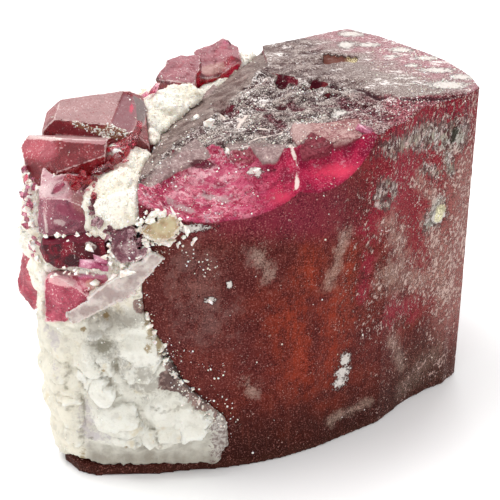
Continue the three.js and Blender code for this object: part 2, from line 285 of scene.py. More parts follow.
def ease(value, start, end):
    """0 at start, 1 at end, and a smooth step between them."""
    t = np.clip((value - start) / (end - start), 0, 1)
    return t * t * (3 - 2 * t)


def spotted(p, spots):
    """How far each point is from the nearest spot, in spot sizes: 0 in its middle, 1 at its edge.
    A spot is its middle and its half-widths along x, y and z, in mm."""
    near = np.full(len(p), 9.0)
    for *middle, wide, deep, high in spots:
        near = np.minimum(near, np.sqrt((((p - middle) / (wide, deep, high)) ** 2).sum(1)))
    return near


def streaked(p, lines):
    """As spotted, for soft lines. A line is its two ends and its half-width, in mm."""
    near = np.full(len(p), 9.0)
    for start, end, wide in lines:
        run = np.subtract(end, start)
        t = np.clip((p - start) @ run / (run @ run), 0, 1)
        near = np.minimum(near, np.linalg.norm(p - start - t[:, None] * run, axis=1) / wide)
    return near


def to_outline(xy, outline):
    """Distance to a closed outline seen from above, in mm, less than 0 inside it."""
    a = np.array(outline, float)
    b = np.roll(a, -1, axis=0)
    near, inside = np.full(len(xy), 1e9), np.zeros(len(xy), bool)
    for (ax, ay), (bx, by) in zip(a, b):
        edge = np.array((bx - ax, by - ay))
        t = np.clip(((xy - (ax, ay)) @ edge) / (edge @ edge), 0, 1)
        near = np.minimum(near, np.linalg.norm(xy - (ax, ay) - t[:, None] * edge, axis=1))
        crosses = (ay > xy[:, 1]) != (by > xy[:, 1])
        inside ^= crosses & (xy[:, 0] < ax + (xy[:, 1] - ay) / ((by - ay) or 1e-9) * (bx - ax))
    return np.where(inside, -near, near)


def lay_flat(p, corners, reach=1.3):
    """Moves the points near a many-sided face onto its plane. Returns the new points and each
    point's distance to the face's outline, in mm, less than 0 inside it and 9 far from its plane."""
    corners = np.array(corners, float)
    middle = corners.mean(0)
    right, up, out = np.linalg.svd(corners - middle)[2]
    flat = np.stack([(p - middle) @ right, (p - middle) @ up], 1)
    height = (p - middle) @ out
    edge = to_outline(flat, np.stack([(corners - middle) @ right, (corners - middle) @ up], 1))
    edge = np.where(abs(height) < reach, edge, 9.0)
    return p - np.outer(height * ease(edge, 0.12, -0.12), out), edge


print("hills at three points:", hills(np.eye(3), 0.7).round(2))

# %% [markdown]
# ## The big prism's shape
# The prism is one thick crystal. Its top has a level, satin corner at the back right, and in front
# of that a slope that was eaten into ridges and pits. Two shell-shaped breaks along its front edge
# show fresh pink stone: the left one is rough like sugar, the right one smooth like glass. The
# sides have fine upright growth lines. Each region is found by where its points lie, and gets its
# own mixture of ridges, facets and hills.

# %% Find the regions of the prism
LEVEL_CORNER = [
    (15.5, -4.5), (23, -2.6), (40, -2.6), (40, 40), (-6, 40), (1.4, 12.7), (2.1, 3.9), (7.9, 0.7),
    (11.5, -1.5),
]
BREAKS = [(-3.5, -19.4, 39, 10.6), (-0.7, -20.6, 39.4, 11), (8.3, -18, 36.4, 7)]
PRISM_SQUARE = 0.27  # mm
prism = skin("main_crystal", "prism", PRISM_SQUARE)
p, n = points_of(prism), normals_of(prism)
top = ease(n[:, 2], 0.5, 0.75) * ease(p[:, 2], 28, 29)
level = to_outline(p[:, :2], LEVEL_CORNER)
broken = np.min([abs(np.linalg.norm(p - s[:3], axis=1) - s[3]) for s in BREAKS], axis=0)
broken = np.where((p[:, 2] > 26) & (p[:, 1] < 0), broken, 9.0)
beyond = (
    (p[:, 0] + 5.3) * -0.83 + (p[:, 1] + 9.7) * 0.557,
    (p[:, 0] + 3.3) * 0.226 + (p[:, 1] + 11.2) * 0.974,
)
# Where the old top still stands beside the breaks
kept = (beyond[0] > 0) & (p[:, 0] < -4.0)
kept |= (beyond[1] + 0.25 * hills(p, 1.1, 93, 2) > 0) & (p[:, 0] < 4.0)
broken = np.where(kept, np.maximum(broken, 1.0), broken)
fresh = ease(broken, 0.4, 0.1)
slope = top * ease(level, -0.15, 0.35) * (1 - fresh)
side = ease(abs(n[:, 2]), 0.5, 0.3)
# The smoother left end of the slope
calm = ease((p[:, 0] + 4.4) * 0.877 - (p[:, 1] + 5.5) * 0.481 + 0.5 * hills(p, 1.6, 91, 2), 0.15, -0.25)
print(
    "skin points:", len(p), "on the slope:", int((slope > 0.5).sum()), "on the breaks:",
    int((fresh > 0.5).sum()),
)

# %% Carve the relief of the prism
# Middle, half-widths and depth, in mm
PITS = [
    (3.4, 2.7, 34.4, 0.7, 0.9, 1, 0.7), (7.0, 1.4, 34.9, 0.9, 0.8, 1, 0.8),
    (-2.6, -3.0, 33.2, 1.3, 0.9, 1.5, 0.7), (0.4, 1.2, 34.3, 0.45, 0.6, 1, 0.5),
    (-4.6, -6.0, 33.0, 0.6, 1.0, 1.5, 0.5), (3.0, -4.2, 33.9, 0.8, 0.5, 1, 0.5),
    (8.6, -2.2, 34.5, 1.0, 0.5, 1, 0.5), (12.2, -5.4, 34.4, 0.9, 0.6, 1, 0.5),
]
# The long hollows between the ledges: two ends and a half-width
HOLLOWS = [
    ((-3.4, -1.0, 33.2), (-1.8, -3.9, 33.2), 0.8), ((4.3, -3.7, 34.0), (5.0, -5.6, 34.0), 0.6),
    ((1.8, -6.0, 33.5), (3.2, -8.4, 33.4), 0.6), ((9.5, -4.8, 34.6), (13.6, -8.8, 34.3), 0.9),
    ((-0.2, -3.2, 33.6), (1.4, -4.4, 33.6), 0.5), ((6.4, -4.4, 34.2), (8.6, -5.4, 34.2), 0.45),
    ((-2.6, -8.6, 32.8), (-1.6, -9.8, 32.6), 0.5),
]
GLITTER_PIT = [(8.1, 7.6), (11.5, 6.6), (12.0, 8.6), (8.2, 10.0)]
along = np.stack([0.93 * p[:, 0] + 0.37 * p[:, 1], -0.37 * p[:, 0] + 0.93 * p[:, 1], p[:, 2]], 1)
warped = along + np.stack([hills(p, 1.8, s, 2) for s in (1, 2, 3)], 1) * 0.7
terrace = 2.8 * hills(warped, (5.5, 1.9, 4), 5, 2)
ledges = (np.floor(terrace) + ease(terrace % 1, 0.75, 1.0)) / 2.8
ledge_foot = ease(terrace % 1, 0.55, 0.72) * ease(terrace % 1, 0.92, 0.8)
ledge_lip = ease(terrace % 1, 0.9, 1.0) + ease(terrace % 1, 0.14, 0.0)
wild = 0.3 + 0.8 * ease(hills(p, 3.0, 77), -0.3, 0.5)
shards = 0.22 * facets(warped, (1.5, 0.8, 1), 11) + 0.14 * facets(p, 0.7, 23)
hackle = 0.50 * ledges + wild * shards + 0.06 * hills(p, 0.5, 4, 2)
satin = 0.12 * ledges + 0.07 * facets(warped, (3.2, 1.2, 2), 12) + 0.03 * hills(p, 0.5, 4)
sugar = 0.20 * facets(p, (2.2, 2.2, 0.9), 40) + 0.14 * facets(p, 0.7, 51) + 0.05 * hills(p, 0.5, 7, 2)
glass = 0.10 * hills(p, 2.6, 9) + 0.05 * facets(p, 1.9, 61)
rough = ease(p[:, 0] + 0.6 * hills(p, 2.0, 18), 3.0, 0.0)
growth = 0.05 * hills(p, (0.7, 0.7, 9), 13) + 0.03 * hills(p, 0.9, 15) + 0.02 * facets(p, (2.5, 2.5, 4), 16)
# The ledged left half of the level corner
stepped = ease(p[:, 0] + 0.35 * p[:, 1] + 0.8 * hills(p, 1.5, 25, 2), 13.0, 11.0)
stairs = 0.50 * ledges - 0.12 + 0.08 * facets(warped, (2.0, 0.9, 1), 27)
plain = 0.03 * hills(p, (1.2, 0.6, 1), 19, 2) + stepped * stairs
lift = slope * ((1 - calm) * hackle + calm * satin) + fresh * (rough * sugar + (1 - rough) * glass)
lift += side * (1 - fresh) * growth + top * (1 - slope) * (1 - fresh) * plain
scarp = top * ease(level, 0.0, 0.3) * ease(level, 1.2, 0.4) * ease(p[:, 0], 5, 8)
hollow = streaked(p, HOLLOWS)
lift -= 0.45 * scarp + 0.35 * top * ease(hollow + 0.35 * hills(p, 0.8, 72, 2), 1.1, 0.4)
lift -= 0.6 * top * ease(to_outline(p[:, :2], GLITTER_PIT), 0.12, -0.12)
for *middle, wide, deep, high, depth in PITS:
    lift -= (
        depth * top * ease(spotted(p, [(*middle, wide, deep, high)]) + 0.25 * hills(p, 0.6, 71), 1.15, 0.6)
    )
push = n * (1 - top)[:, None] + np.array((0, 0, 1.0)) * top[:, None]
p2 = p + push * lift[:, None]
print("relief from", lift.min().round(2), "to", lift.max().round(2), "mm")

# %% [markdown]
# Growth faces survive along the broken rim as a few flat, satin facets: a long bevel over the left
# break, a shelf in the middle, a narrow strip by the albite, and a wedge with a dark front between
# the two breaks. Each is given by its corners, and the skin inside them is laid on their plane.

# %% Lay the facets of the rim
SATIN = [
    [
        (-5.3, -9.7, 32.6), (-8.2, -13.1, 31.8), (-10.2, -17.0, 31.0), (-9.5, -16.8, 30.2),
        (-7.2, -14.1, 30.6), (-3.7, -11.8, 31.6),
    ],
    [(-0.2, -11.7, 32.8), (3.6, -12.2, 33.0), (2.5, -14.0, 31.9), (1.15, -14.0, 32.0)],
    [(-2.4, -11.0, 32.5), (-0.2, -11.4, 32.8), (-0.3, -11.9, 32.4), (-2.2, -11.6, 32.1)],
    [
        (-4.1, 6.1, 32.9), (-3.5, 3.6, 33.2), (-4.9, 1.6, 32.9), (-7.0, -0.4, 31.7), (-6.3, 1.4, 32.0),
        (-5.3, 4.4, 32.5),
    ],
]
WEDGE_TOP = [
    (4.2, -8.6, 33.7), (6.0, -9.1, 34.0), (10.7, -8.8, 34.3), (10.8, -12.0, 33.7), (8.0, -12.6, 33.4),
    (5.9, -10.6, 33.8), (4.6, -12.9, 33.3), (3.9, -10.5, 33.5),
]
WEDGE_FRONT = [
    (4.7, -13.1, 33.0), (5.9, -10.7, 33.7), (8.0, -12.7, 33.3), (7.6, -13.4, 32.6), (5.0, -14.0, 31.9),
]
satin_edge = np.full(len(p2), 9.0)
for corners in SATIN:
    p2, edge = lay_flat(p2, corners)
    satin_edge = np.minimum(satin_edge, edge)
p2, wedge_edge = lay_flat(p2, WEDGE_TOP)
p2, front_edge = lay_flat(p2, WEDGE_FRONT)
p2[:, 2] = np.maximum(p2[:, 2], 0)
move_points(prism, p2)
print("points on flat facets:", int((np.minimum(satin_edge, wedge_edge) < 0).sum()))

# %% Keep notes for the prism's material
# Crusts of white albite
WHITE = [
    (9.9, -14.1, 9.7, 0.55, 1.2, 0.75), (9.6, -14.1, 8.3, 0.85, 1.2, 0.6), (9.3, -14.1, 7.0, 0.8, 1.2, 0.6),
    (19.8, -4.9, 21.9, 1.0, 1, 0.9), (11.8, 16.9, 35, 1.5, 1.0, 1), (10.9, 12.7, 35, 0.9, 1.3, 1),
    (13.5, 12.7, 35, 1.3, 0.7, 1), (17.0, 10.9, 35, 1.2, 0.8, 1), (20.0, 3.9, 35, 1.8, 0.8, 1),
    (20.6, -0.9, 35, 2.1, 1.2, 1), (-3.8, -19.7, 20, 0.5, 1, 0.3), (-1.9, -19.4, 21.5, 0.28, 1, 0.45),
    (22.3, 1.7, 35, 1.2, 0.9, 1), (19.4, 8.0, 35, 1.3, 0.7, 1), (15.6, 8.6, 35, 0.8, 0.5, 1),
    (17.6, 5.4, 35, 0.8, 0.5, 1), (-5.6, -3.8, 32.6, 0.5, 0.6, 1), (-4.0, -7.3, 33.1, 0.7, 0.7, 1),
    (-2.2, -11.6, 32.0, 0.25, 0.4, 0.6), (0.5, -13.9, 30.8, 0.8, 0.7, 0.25), (9.0, -6.6, 34.2, 0.8, 0.6, 1),
    (-5.6, -19.8, 27.7, 1.8, 1, 0.35), (11.6, -10.8, 33.6, 0.3, 0.6, 0.5),
]
# Dull films of dust
HAZE = [
    ((9.4, -14.3, 24.5), (7.9, -15.3, 19.4), 0.75), ((13.9, -11.2, 24.2), (15.9, -8.9, 19.6), 1.2),
    ((14.4, -10.9, 18.2), (19.8, -5.2, 14.2), 1.9), ((0.8, -18.6, 24.5), (1.9, -18.3, 21.8), 0.7),
    ((19.0, -5.9, 22.4), (21.5, -3.9, 11.1), 1.3), ((15.0, -9.9, 9.6), (16.8, -7.7, 5.2), 0.8),
    ((17.3, -7.3, 1.8), (21.5, -4.5, 4.8), 1.2), ((8.5, -15.0, 2.6), (12.5, -12.0, 3.2), 0.6),
    ((17.5, -7.5, 27), (19.5, -5.5, 24), 0.9), ((-0.3, -19, 10), (0.2, -19, 9), 0.7),
]
VEIL = [
    ((-5.6, -19.9, 24.0), (-4.0, -19.8, 17.4), 2.4), ((0.0, -18.6, 24.8), (1.9, -18.3, 21.8), 1.0),
    ((-0.3, -19, 10), (0.6, -19, 9), 0.9),
]
# Painted glow, where light comes back out warm
GLOW = [
    ((10.1, -13.9, 22.3), (10.0, -13.9, 14.5), 1.1), ((5.6, -16.5, 23.2), (5.9, -16.5, 20.4), 1.6),
    ((8.8, -14.8, 18), (8.2, -15, 9), 2.2), ((4.0, -17.2, 17), (5.5, -16.6, 9), 2.2),
    ((2.5, -17.6, 3.0), (5.5, -16.5, 2.0), 0.8), ((7.5, -15.5, 5), (9.5, -14.5, 4), 0.8),
]
CRIMSON = [
    ((13.5, -11.3, 33.2), (22.0, -3.4, 33.6), 1.1), ((14.5, -10.3, 13.4), (17.5, -7.4, 12.2), 1.5),
    ((12, -12.5, 21), (11.5, -12.9, 17), 0.9), ((15.5, -9.5, 30), (12.5, -12.2, 25), 2.2),
]
# Grey green films, most of them in a fringe under the rim
CRUST = [
    ((13.2, -11.4, 32.4), (17.0, -7.6, 31.7), 0.8), ((17.0, -7.6, 31.7), (21.8, -3.7, 30.8), 1.2),
    ((16.4, -8.2, 32.6), (18.6, -6.1, 32.2), 0.6), ((17.8, -6.6, 28.4), (19.4, -5.3, 27.0), 0.5),
    ((18.6, -5.8, 21.6), (20.0, -4.9, 23.4), 0.7), ((20.4, -4.7, 29.0), (21.0, -4.2, 26.5), 0.4),
    ((12.9, -12.0, 27.6), (13.3, -11.6, 28.4), 0.6), ((14.0, -10.9, 28.0), (14.4, -10.6, 26.8), 0.45),
    ((12.6, -12.2, 26.6), (13.6, -11.4, 26.2), 0.4),
]
LIT = [(8.6, -14.2, 31.0, 3.4, 2, 0.8), (3.2, -17.4, 29.6, 2.4, 2, 0.6)]  # rims that the light gets into
# DARK: dark red painted shade just below the bevel and the shelf of the rim, and in the pits
DARK = [(-4.6, -12.6, 31.0, 1.6, 0.8, 0.55), (1.6, -14.4, 31.2, 1.3, 0.7, 0.35)] + [pit[:6] for pit in PITS]
# Thin white seams
THREADS = [
    ((3.9, -12.4, 33.2), (4.3, -14.2, 32.2), 0.16), ((4.3, -14.2, 32.2), (4.5, -15.4, 31.4), 0.15),
    ((4.5, -15.4, 31.4), (4.4, -16.8, 30.4), 0.2), ((-3.0, -3.8, 33.1), (-2.7, -4.5, 32.7), 0.14),
    ((-2.7, -4.5, 32.7), (-2.2, -7.5, 32.8), 0.12), ((-1.2, -7.7, 32.9), (-0.7, -6.4, 33.2), 0.16),
    ((-0.7, -6.4, 33.2), (-0.2, -5.4, 33.5), 0.13), ((-1.2, -6.0, 33.3), (-0.4, -7.8, 33.2), 0.14),
    ((0.0, -10.8, 32.8), (1.2, -9.9, 33.0), 0.12), ((1.2, -9.9, 33.0), (3.2, -9.1, 33.2), 0.1),
    ((0.8, -8.8, 33.3), (2.4, -8.6, 33.4), 0.1), ((-1.9, -11.4, 32.3), (1.9, -12.1, 32.8), 0.06),
]
PALE = [(-3.9, -13.4, 30.3, 2.3, 2, 0.9), (-6.6, -16.4, 29.6, 1.0, 2, 0.6)]  # chalky parts of the left break
ASHY = [
    ((-4.4, -15.7, 29.1), (-2.1, -16.2, 29.0), 0.35), ((-7.6, -17.4, 29.6), (-5.4, -18.0, 28.6), 0.3),
    ((-1.2, -16.6, 28.6), (0.6, -16.4, 28.8), 0.2),
]
BROWN = [(-0.7, -12.2, 31.9, 1.6, 1.2, 0.75)]
MOSS = [((21.1, -4.2, 31.4), (20.9, -4.3, 30.2), 0.35)]
for name, spots in (("white", WHITE), ("dark", DARK), ("lit", LIT), ("pale", PALE), ("brown", BROWN)):
    note(prism, name, spotted(p, spots))
for name, lines in (
    ("haze", HAZE), ("veil", VEIL), ("glow", GLOW), ("crimson", CRIMSON), ("crust", CRUST), ("moss", MOSS),
    ("cream", [((20.1, -4.8, 22.6), (19.9, -4.9, 21.9), 0.7)]), ("thread", THREADS), ("ashy", ASHY),
):
    note(prism, name, streaked(p, lines))
for name, values in (
    ("level", level), ("broken", broken), ("hollow", hollow), ("relief", lift), ("rough", rough),
    ("calm", calm), ("satin", satin_edge), ("stepped", stepped), ("wedge", wedge_edge),
    ("wedge_front", front_edge), ("up", normals_of(prism)[:, 2]), ("chunk", facets(p, (2.2, 2.2, 0.9), 40)),
    ("scarp", scarp), ("ledge_foot", ledge_foot), ("ledge_lip", ledge_lip), ("sunk", sunk(prism, lift)),
    ("pit", to_outline(p[:, :2], GLITTER_PIT) + 9 * (top < 0.5)),
):
    note(prism, name, values)
print("notes on the prism:", [a.name for a in prism.data.attributes if a.domain == "POINT"])

# %% [markdown]
# ## Writing materials as sums
# A material is a small network of nodes. Written as plain Python it is easier to read: a Wire
# stands for one socket, and adding, taking away or multiplying wires makes the Math nodes. Every
# other node comes from one method, node(), which sets the node's settings before its sockets.

# %% Wires and recipes
def add_node(tree, kind, settings=None, sockets=None):
    """One node: its type, its settings, then the values or sources of its sockets."""
    made = tree.nodes.new(kind)
    for key, value in (settings or {}).items():
        setattr(made, key, value)
    for key, value in (sockets or {}).items():
        if isinstance(value, bpy.types.NodeSocket):
            tree.links.new(value, made.inputs[key])
        else:
            made.inputs[key].default_value = value
    return made.outputs


def operator(operation, turned=False):
    """One sum of a Wire with a number or another wire; turned puts the other one first."""
    def work(wire, other):
        return wire.recipe.sum(operation, *((other, wire) if turned else (wire, other)))

    return work


class Wire:
    """One output of a material's network, on which sums are written as in plain Python."""

    def __init__(self, recipe, socket):
        self.recipe, self.socket = recipe, socket

    __add__ = __radd__ = operator("ADD")
    __mul__ = __rmul__ = operator("MULTIPLY")
    __sub__ = operator("SUBTRACT")
    __rsub__ = operator("SUBTRACT", turned=True)


def paint(code):
    """A colour written as six hex digits, as the linear numbers that a socket takes."""
    parts = [int(code[i : i + 2], 16) / 255 for i in (0, 2, 4)]
    return tuple(c / 12.92 if c < 0.04045 else ((c + 0.055) / 1.055) ** 2.4 for c in parts) + (1.0,)


class Recipe:
    """A material while it is being written."""

    def __init__(self, name):
        self.material = bpy.data.materials.new(name)
        self.material.use_nodes = True
        self.tree = self.material.node_tree
        self.tree.nodes.clear()
        self.place = None

    def node(self, kind, settings=None, sockets=None, out=0):
        """One node of the material, whose sockets may be wires. Gives back one of its outputs."""
        sockets = {k: v.socket if isinstance(v, Wire) else v for k, v in (sockets or {}).items()}
        outputs = add_node(self.tree, kind, settings, sockets)
        return Wire(self, outputs[out]) if len(outputs) else None

    def sum(self, operation, a, b=0.0):
        return self.node("ShaderNodeMath", {"operation": operation}, {0: a, 1: b})

    def read(self, name):
        """The number that note() kept for each point."""
        return self.node("ShaderNodeAttribute", {"attribute_name": name}, out="Fac")

    def where(self):
        """The place on the object, in mm."""
        if not self.place:
            metres = self.node("ShaderNodeTexCoord", out="Object")
            scaled = self.node(
                "ShaderNodeVectorMath", {"operation": "MULTIPLY"}, {0: metres, 1: (1000, 1000, 1000)},
            )
            self.place = self.node(
                "ShaderNodeVectorMath", {"operation": "SUBTRACT"}, {0: scaled, 1: tuple(MIDDLE)},
            )
        return self.place

    def stretched(self, size, shift=0.0, turn=None):
        """The place in units of size, in mm: one number, or one for each axis, which turn can lean."""
        sizes = size if isinstance(size, tuple) else (size,) * 3
        place = self.where()
        if turn:
            place = self.node(
                "ShaderNodeVectorRotate", {"rotation_type": "EULER_XYZ"},
                {"Vector": place, "Rotation": turn},
            )
        scaled = self.node("ShaderNodeVectorMath", {"operation": "DIVIDE"}, {0: place, 1: sizes})
        return self.node(
            "ShaderNodeVectorMath", {"operation": "ADD"}, {0: scaled, 1: (shift, shift * 2, -shift)},
        )

    def cloud(self, size, shift=0.0, detail=2.0, roughness=0.5, turn=None):
        """Soft noise, from 0 to 1 with most of it near a half."""
        return self.node(
            "ShaderNodeTexNoise", {"noise_dimensions": "3D"},
            {
                "Vector": self.stretched(size, shift, turn), "Scale": 1.0, "Detail": detail,
                "Roughness": roughness,
            },
            out=0,
        )

    def mosaic(self, size, shift=0.0, turn=None, shaken=0.5):
        """Cells with ragged outlines, each with its own random number from 0 to 1."""
        shake = self.node(
            "ShaderNodeTexNoise", {}, {"Vector": self.stretched(0.5, shift), "Scale": 1.0, "Detail": 3.0},
            out=1,
        )
        place = self.node("ShaderNodeVectorMath", {"operation": "MULTIPLY_ADD"}, {
            0: shake, 1: (shaken * 2,) * 3, 2: self.stretched(size, shift, turn)})
        chosen = self.node("ShaderNodeTexVoronoi", {"feature": "F1"}, {"Vector": place, "Scale": 1.0}, out=1)
        return self.node("ShaderNodeSeparateColor", {}, {0: chosen})

    def step(self, value, start, end):
        """0 at start and 1 at end, smooth between."""
        return self.node("ShaderNodeMapRange", {"interpolation_type": "SMOOTHSTEP"}, {
            "Value": value, "From Min": start, "From Max": end})

    def axis(self, which):
        return self.node("ShaderNodeSeparateXYZ", {}, {0: self.where()}, out=which)

    def blend(self, factor, a, b):
        """A colour between a and b; colours are hex codes or wires."""
        a, b = (paint(c) if isinstance(c, str) else c for c in (a, b))
        return self.node("ShaderNodeMix", {"data_type": "RGBA"}, {0: factor, 6: a, 7: b}, out=2)

    def layers(self, under, coats):
        """Paints coats over a colour, one after the other. A coat is its mask and its colour."""
        for mask, colour in coats:
            under = self.blend(mask, under, colour)
        return under

    def bump(self, height, depth):
        """A Normal from a height from 0 to 1 that stands for depth, in mm."""
        return self.node("ShaderNodeBump", {}, {"Height": height, "Distance": depth / 1000, "Strength": 1.0})

    def finish(self, surface, volume=None):
        self.node(
            "ShaderNodeOutputMaterial", {}, {"Surface": surface, **({"Volume": volume} if volume else {})},
        )
        print("material", self.material.name, "has", len(self.tree.nodes), "nodes")
        return self.material


# %% [markdown]
# ## The prism's finish
# Thick red tourmaline lets so little light through that it looks like dark, satin stone with
# colour deep inside: brown red with a warmer heart, purple under the breaks, crimson at the upper
# right. The warmer heart is a painted glow where light comes back out, and the rims that the light
# gets into have a painted glow too. Tiny white grains and upright streaks of dust lie all over it.
# The fresh breaks are pink, and the eaten top is grey brown with dark red hollows. The relief's light
# and shade are painted as well: painted shade in its hollows, pits and ledge feet and under the
# rim's facets, painted highlights on its ridges and ledge lips, and painted shadows beside the
# crusts and flecks. Layers of colour, each with its own mask, are mixed one over the other, much as
# a scale modeller would paint it.

# %% Mix the prism's material
LEAN = (0, -0.5, 0)  # radians: the lean of the streaks of dust
ALONG_LEDGES = (0, 0, -0.38)  # radians: the way the ledges of the slope run
r = Recipe("dark_tourmaline")
step, read, blend, cloud, mosaic, layers = (
    r.step, r.read, r.blend, r.cloud, r.mosaic, r.layers,
)
x, y, z = (r.axis(k) for k in (0, 1, 2))
fine = cloud(0.30, 3.0, 4.0, 0.75)
grit = cloud(0.15, 9.0, 2.0, 0.6)
patch = cloud(1.4, 13.0, 4.0, 0.65)
drift = cloud(5.0, 1.0, 2.0)
upright = cloud((0.35, 0.35, 5.0), 5.0, 3.0, 0.6)
leaning = cloud((0.45, 0.45, 1.8), 5.0, 4.0, 0.7, turn=LEAN)
sand = (fine - 0.5) * 1.6 + (patch - 0.5) * 0.8
ragged = (fine - 0.5) * 3.5 + (patch - 0.5) * 5 + (leaning - 0.5) * 2.5

body = blend(step(drift, 0.38, 0.62), "5a201d", "6c271d")
strands = cloud((0.22, 0.22, 1.3), 83.0, 5.0, 0.75)
bits = mosaic((0.4, 0.4, 0.55), 85.0)
lace = cloud((0.32, 0.32, 0.6), 63.0, 5.0, 0.75, turn=LEAN)
crusted = step(read("crust") + ragged * 0.4, 2.4, 0.2)
lace += (
    step(x, 8, 15) * 0.03 + step(x + sand * 2, 18, 22) * 0.06 + crusted * 0.03
    + step(read("haze") + ragged, 1.6, 0) * 0.05
)
lace += (cloud(2.2, 67.0, 3.0) - 0.5) * 0.3 - step(z, 13, 5) * 0.05
body = layers(body, [
    (step(patch, 0.44, 0.62) * 0.5, "481415"),
    (step(x, 2, -5) * step(z, 6, 12) * 0.4, "5c2f2e"),
    # painted glow, in two warm layers, where light comes back out of the crystal
    (step(read("glow") + ragged * 0.7 + (upright - 0.5) * 2, 1.7, -0.6) * 0.6, "92341d"),
    (step(read("glow") + ragged * 0.4 + (upright - 0.5) * 3, 0.7, -0.5) * 0.25, "a63a20"),
    (step(z + drift * 6, 14, 4) * 0.9, "2e110a"),
    (step(z + x * 0.25 + drift * 4, 26.5, 30.5) * step(x, 14, 4) * 0.75, "7a2038"),
    (step(x + z * 0.45 + drift * 4 + sand * 2, 24, 30) * step(x, 8, 12) * 0.85, "8a1a2c"),
    (step(read("crimson") + ragged, 1.6, 0.0) * 0.75, "8c1530"),
    (step(x + sand * 2.5, 18.6, 22.0) * step(z + sand * 2, 30, 26.5) * step(z + sand * 2, 3, 9) * 0.7,
     "9c6c64"),
    (step(upright, 0.52, 0.72) * 0.2, "8f4a3c"),
    (step(read("haze") + ragged * 0.8, 1.7, -0.4) * (0.5 + step(grit, 0.42, 0.58) * 0.5) * 0.62, "b8a090"),
    (step(x + sand * 4, 15, 18) * step(z + sand * 3, 9.5, 2.5) * 0.6, "4e3a30"),
    (step(read("veil") + ragged, 1.6, -0.3) * 0.25, "8d7670"),
    (step(z + sand * 0.5, 1.3, 0.5) * 0.8, "3c1d14"),
    (step(grit, 0.49, 0.36) * step(patch, 0.3, 0.6) * 0.75, "2a0806"),
    (step(fine, 0.45, 0.30) * 0.45, "330a0a"),
    (step(grit, 0.54, 0.72) * (0.75 + step(x, 8, 18) * 0.25) * 0.6, "bc7c74"),
    (step(read("crust") + (fine - 0.5) * 2 + (strands - 0.5) * 4 + (bits - 0.5) * 1.6, 1.7, 0.9) * 0.85,
     blend(
         step(strands * 0.7 + bits * 0.3, 0.38, 0.62), "4a3634",
         blend(step(patch, 0.4, 0.6), "b0af9c", "d0bab4"),
     )),
    # painted shadow beside the lace of light flecks
    (step(lace, 0.56, 0.60) * step(x, 7, 11) * 0.75, "30080d"),
    (step(upright, 0.47, 0.40) * step(z, 30.5, 32) * step(x, 9, 13) * 0.7, "3c0a18"),
    (step(lace, 0.61, 0.66) * step(x, 7, 11) * 0.9,
     blend(crusted, "c9aaa0", blend(step(patch, 0.42, 0.58), "a7a49a", "d6cdc8"))),
    (step(read("moss") + ragged * 0.45, 1.3, 0.8) * 0.9, "1c1a0c"),
])

ragged_rock = cloud(0.25, 71.0, 4.0, 0.75)
planes = mosaic((1.1, 0.5, 0.8), 75.0, ALONG_LEDGES)
splinters = mosaic((0.45, 0.25, 0.4), 77.0, ALONG_LEDGES)
stripe = cloud((1.2, 0.30, 0.5), 73.0, 4.0, 0.7, turn=ALONG_LEDGES)
# Lighter where the relief stands high and darker where it is low: painted light and shade on the relief
slope_c = blend(
    step(planes * 0.5 + splinters * 0.35 + fine * 0.5 + read("relief") * 0.6, 0.3, 1.0), "362022", "b4a49c",
)
sunken = step(read("hollow") + ragged * 0.22, 1.15, 0.6)
snow = step(
    cloud(0.34, 27.0, 4.0, 0.8) + (cloud(2.6, 29.0) - 0.5) * 0.5 + step(x, -6, 2) * step(x, 12, 3) * 0.04,
    0.63, 0.67,
)
slope_c = layers(slope_c, [
    (step(cloud(1.9, 21.0, 3.0), 0.47, 0.58) * 0.75, "54242e"),
    (step(x + z * 0.5 - y * 0.6 + sand * 3, 29, 32) * step(x, 4, 8) * 0.7, "80303e"),
    # painted shade where the relief is low and in the cavities
    (step(read("relief") + sand * 0.25, -0.05, -0.45) * 0.85, "3c0a12"),
    (step(read("sunk") + sand * 0.1, 0.02, 0.22) * 0.68, "2a1216"),
    (step(ragged_rock, 0.45, 0.39) * 0.7, "2c1515"),
    (step(stripe, 0.56, 0.61) * 0.4, "bcaca4"),
    (step(stripe, 0.44, 0.39) * 0.5, "3a1c20"),
    (step(ragged_rock + (patch - 0.5) * 0.3, 0.58, 0.63) * 0.72, "dacec8"),
    # painted shadow at the feet of the ledges, painted highlight on raised bits and on the ledge lips
    (read("ledge_foot") * step(fine, 0.35, 0.6) * 0.6, "2a1417"),
    (step(read("sunk") + sand * 0.1, -0.03, -0.16) * 0.6, "b7a8a1"),
    (read("ledge_lip") * step(fine, 0.4, 0.6) * 0.7, "c4b7b0"),
    # the long hollows: dark red, partly painted shade
    (sunken * 0.85, blend(step(fine, 0.4, 0.62), "420f1c", "7c3c48")),
    (step(x + sand * 1.5, 12.8, 14.4) * 0.85, blend(step(leaning, 0.4, 0.6), "6a2430", "a8505e")),
    (step(grit, 0.49, 0.41) * 0.8, "200f11"),
    (step(grit + (patch - 0.5) * 0.3, 0.57, 0.63) * 0.4, "ece2dc"),
    (snow * step(read("calm"), 0.7, 0.2) * 0.9, "efe6e2"),
    (step(read("calm"), 0.3, 0.8) * 0.7,
     blend(step(mosaic(1.3, 79.0) * 0.3 + patch * 0.5 + fine * 0.6, 0.5, 0.95), "5c4843", "9b8982")),
    # painted shadow under the scarp below the level corner's edge
    (step(read("scarp"), 0.3, 0.7) * 0.8, "3c1a22"),
])
level_c = blend(step(x * 0.5 + y * 0.4 + (drift - 0.5) * 8, 8, 12), "8c7d77", "a9737b")
abs_pit = r.sum("ABSOLUTE", read("pit") + sand * 0.08)
flat_dust = step(
    cloud((0.6, 0.38, 0.4), 45.0, 4.0, 0.75) + (cloud((2.6, 1.6, 2), 47.0, 3.0) - 0.5) * 0.7
    + step(x, 2, 20) * 0.06,
    0.64, 0.68,
)
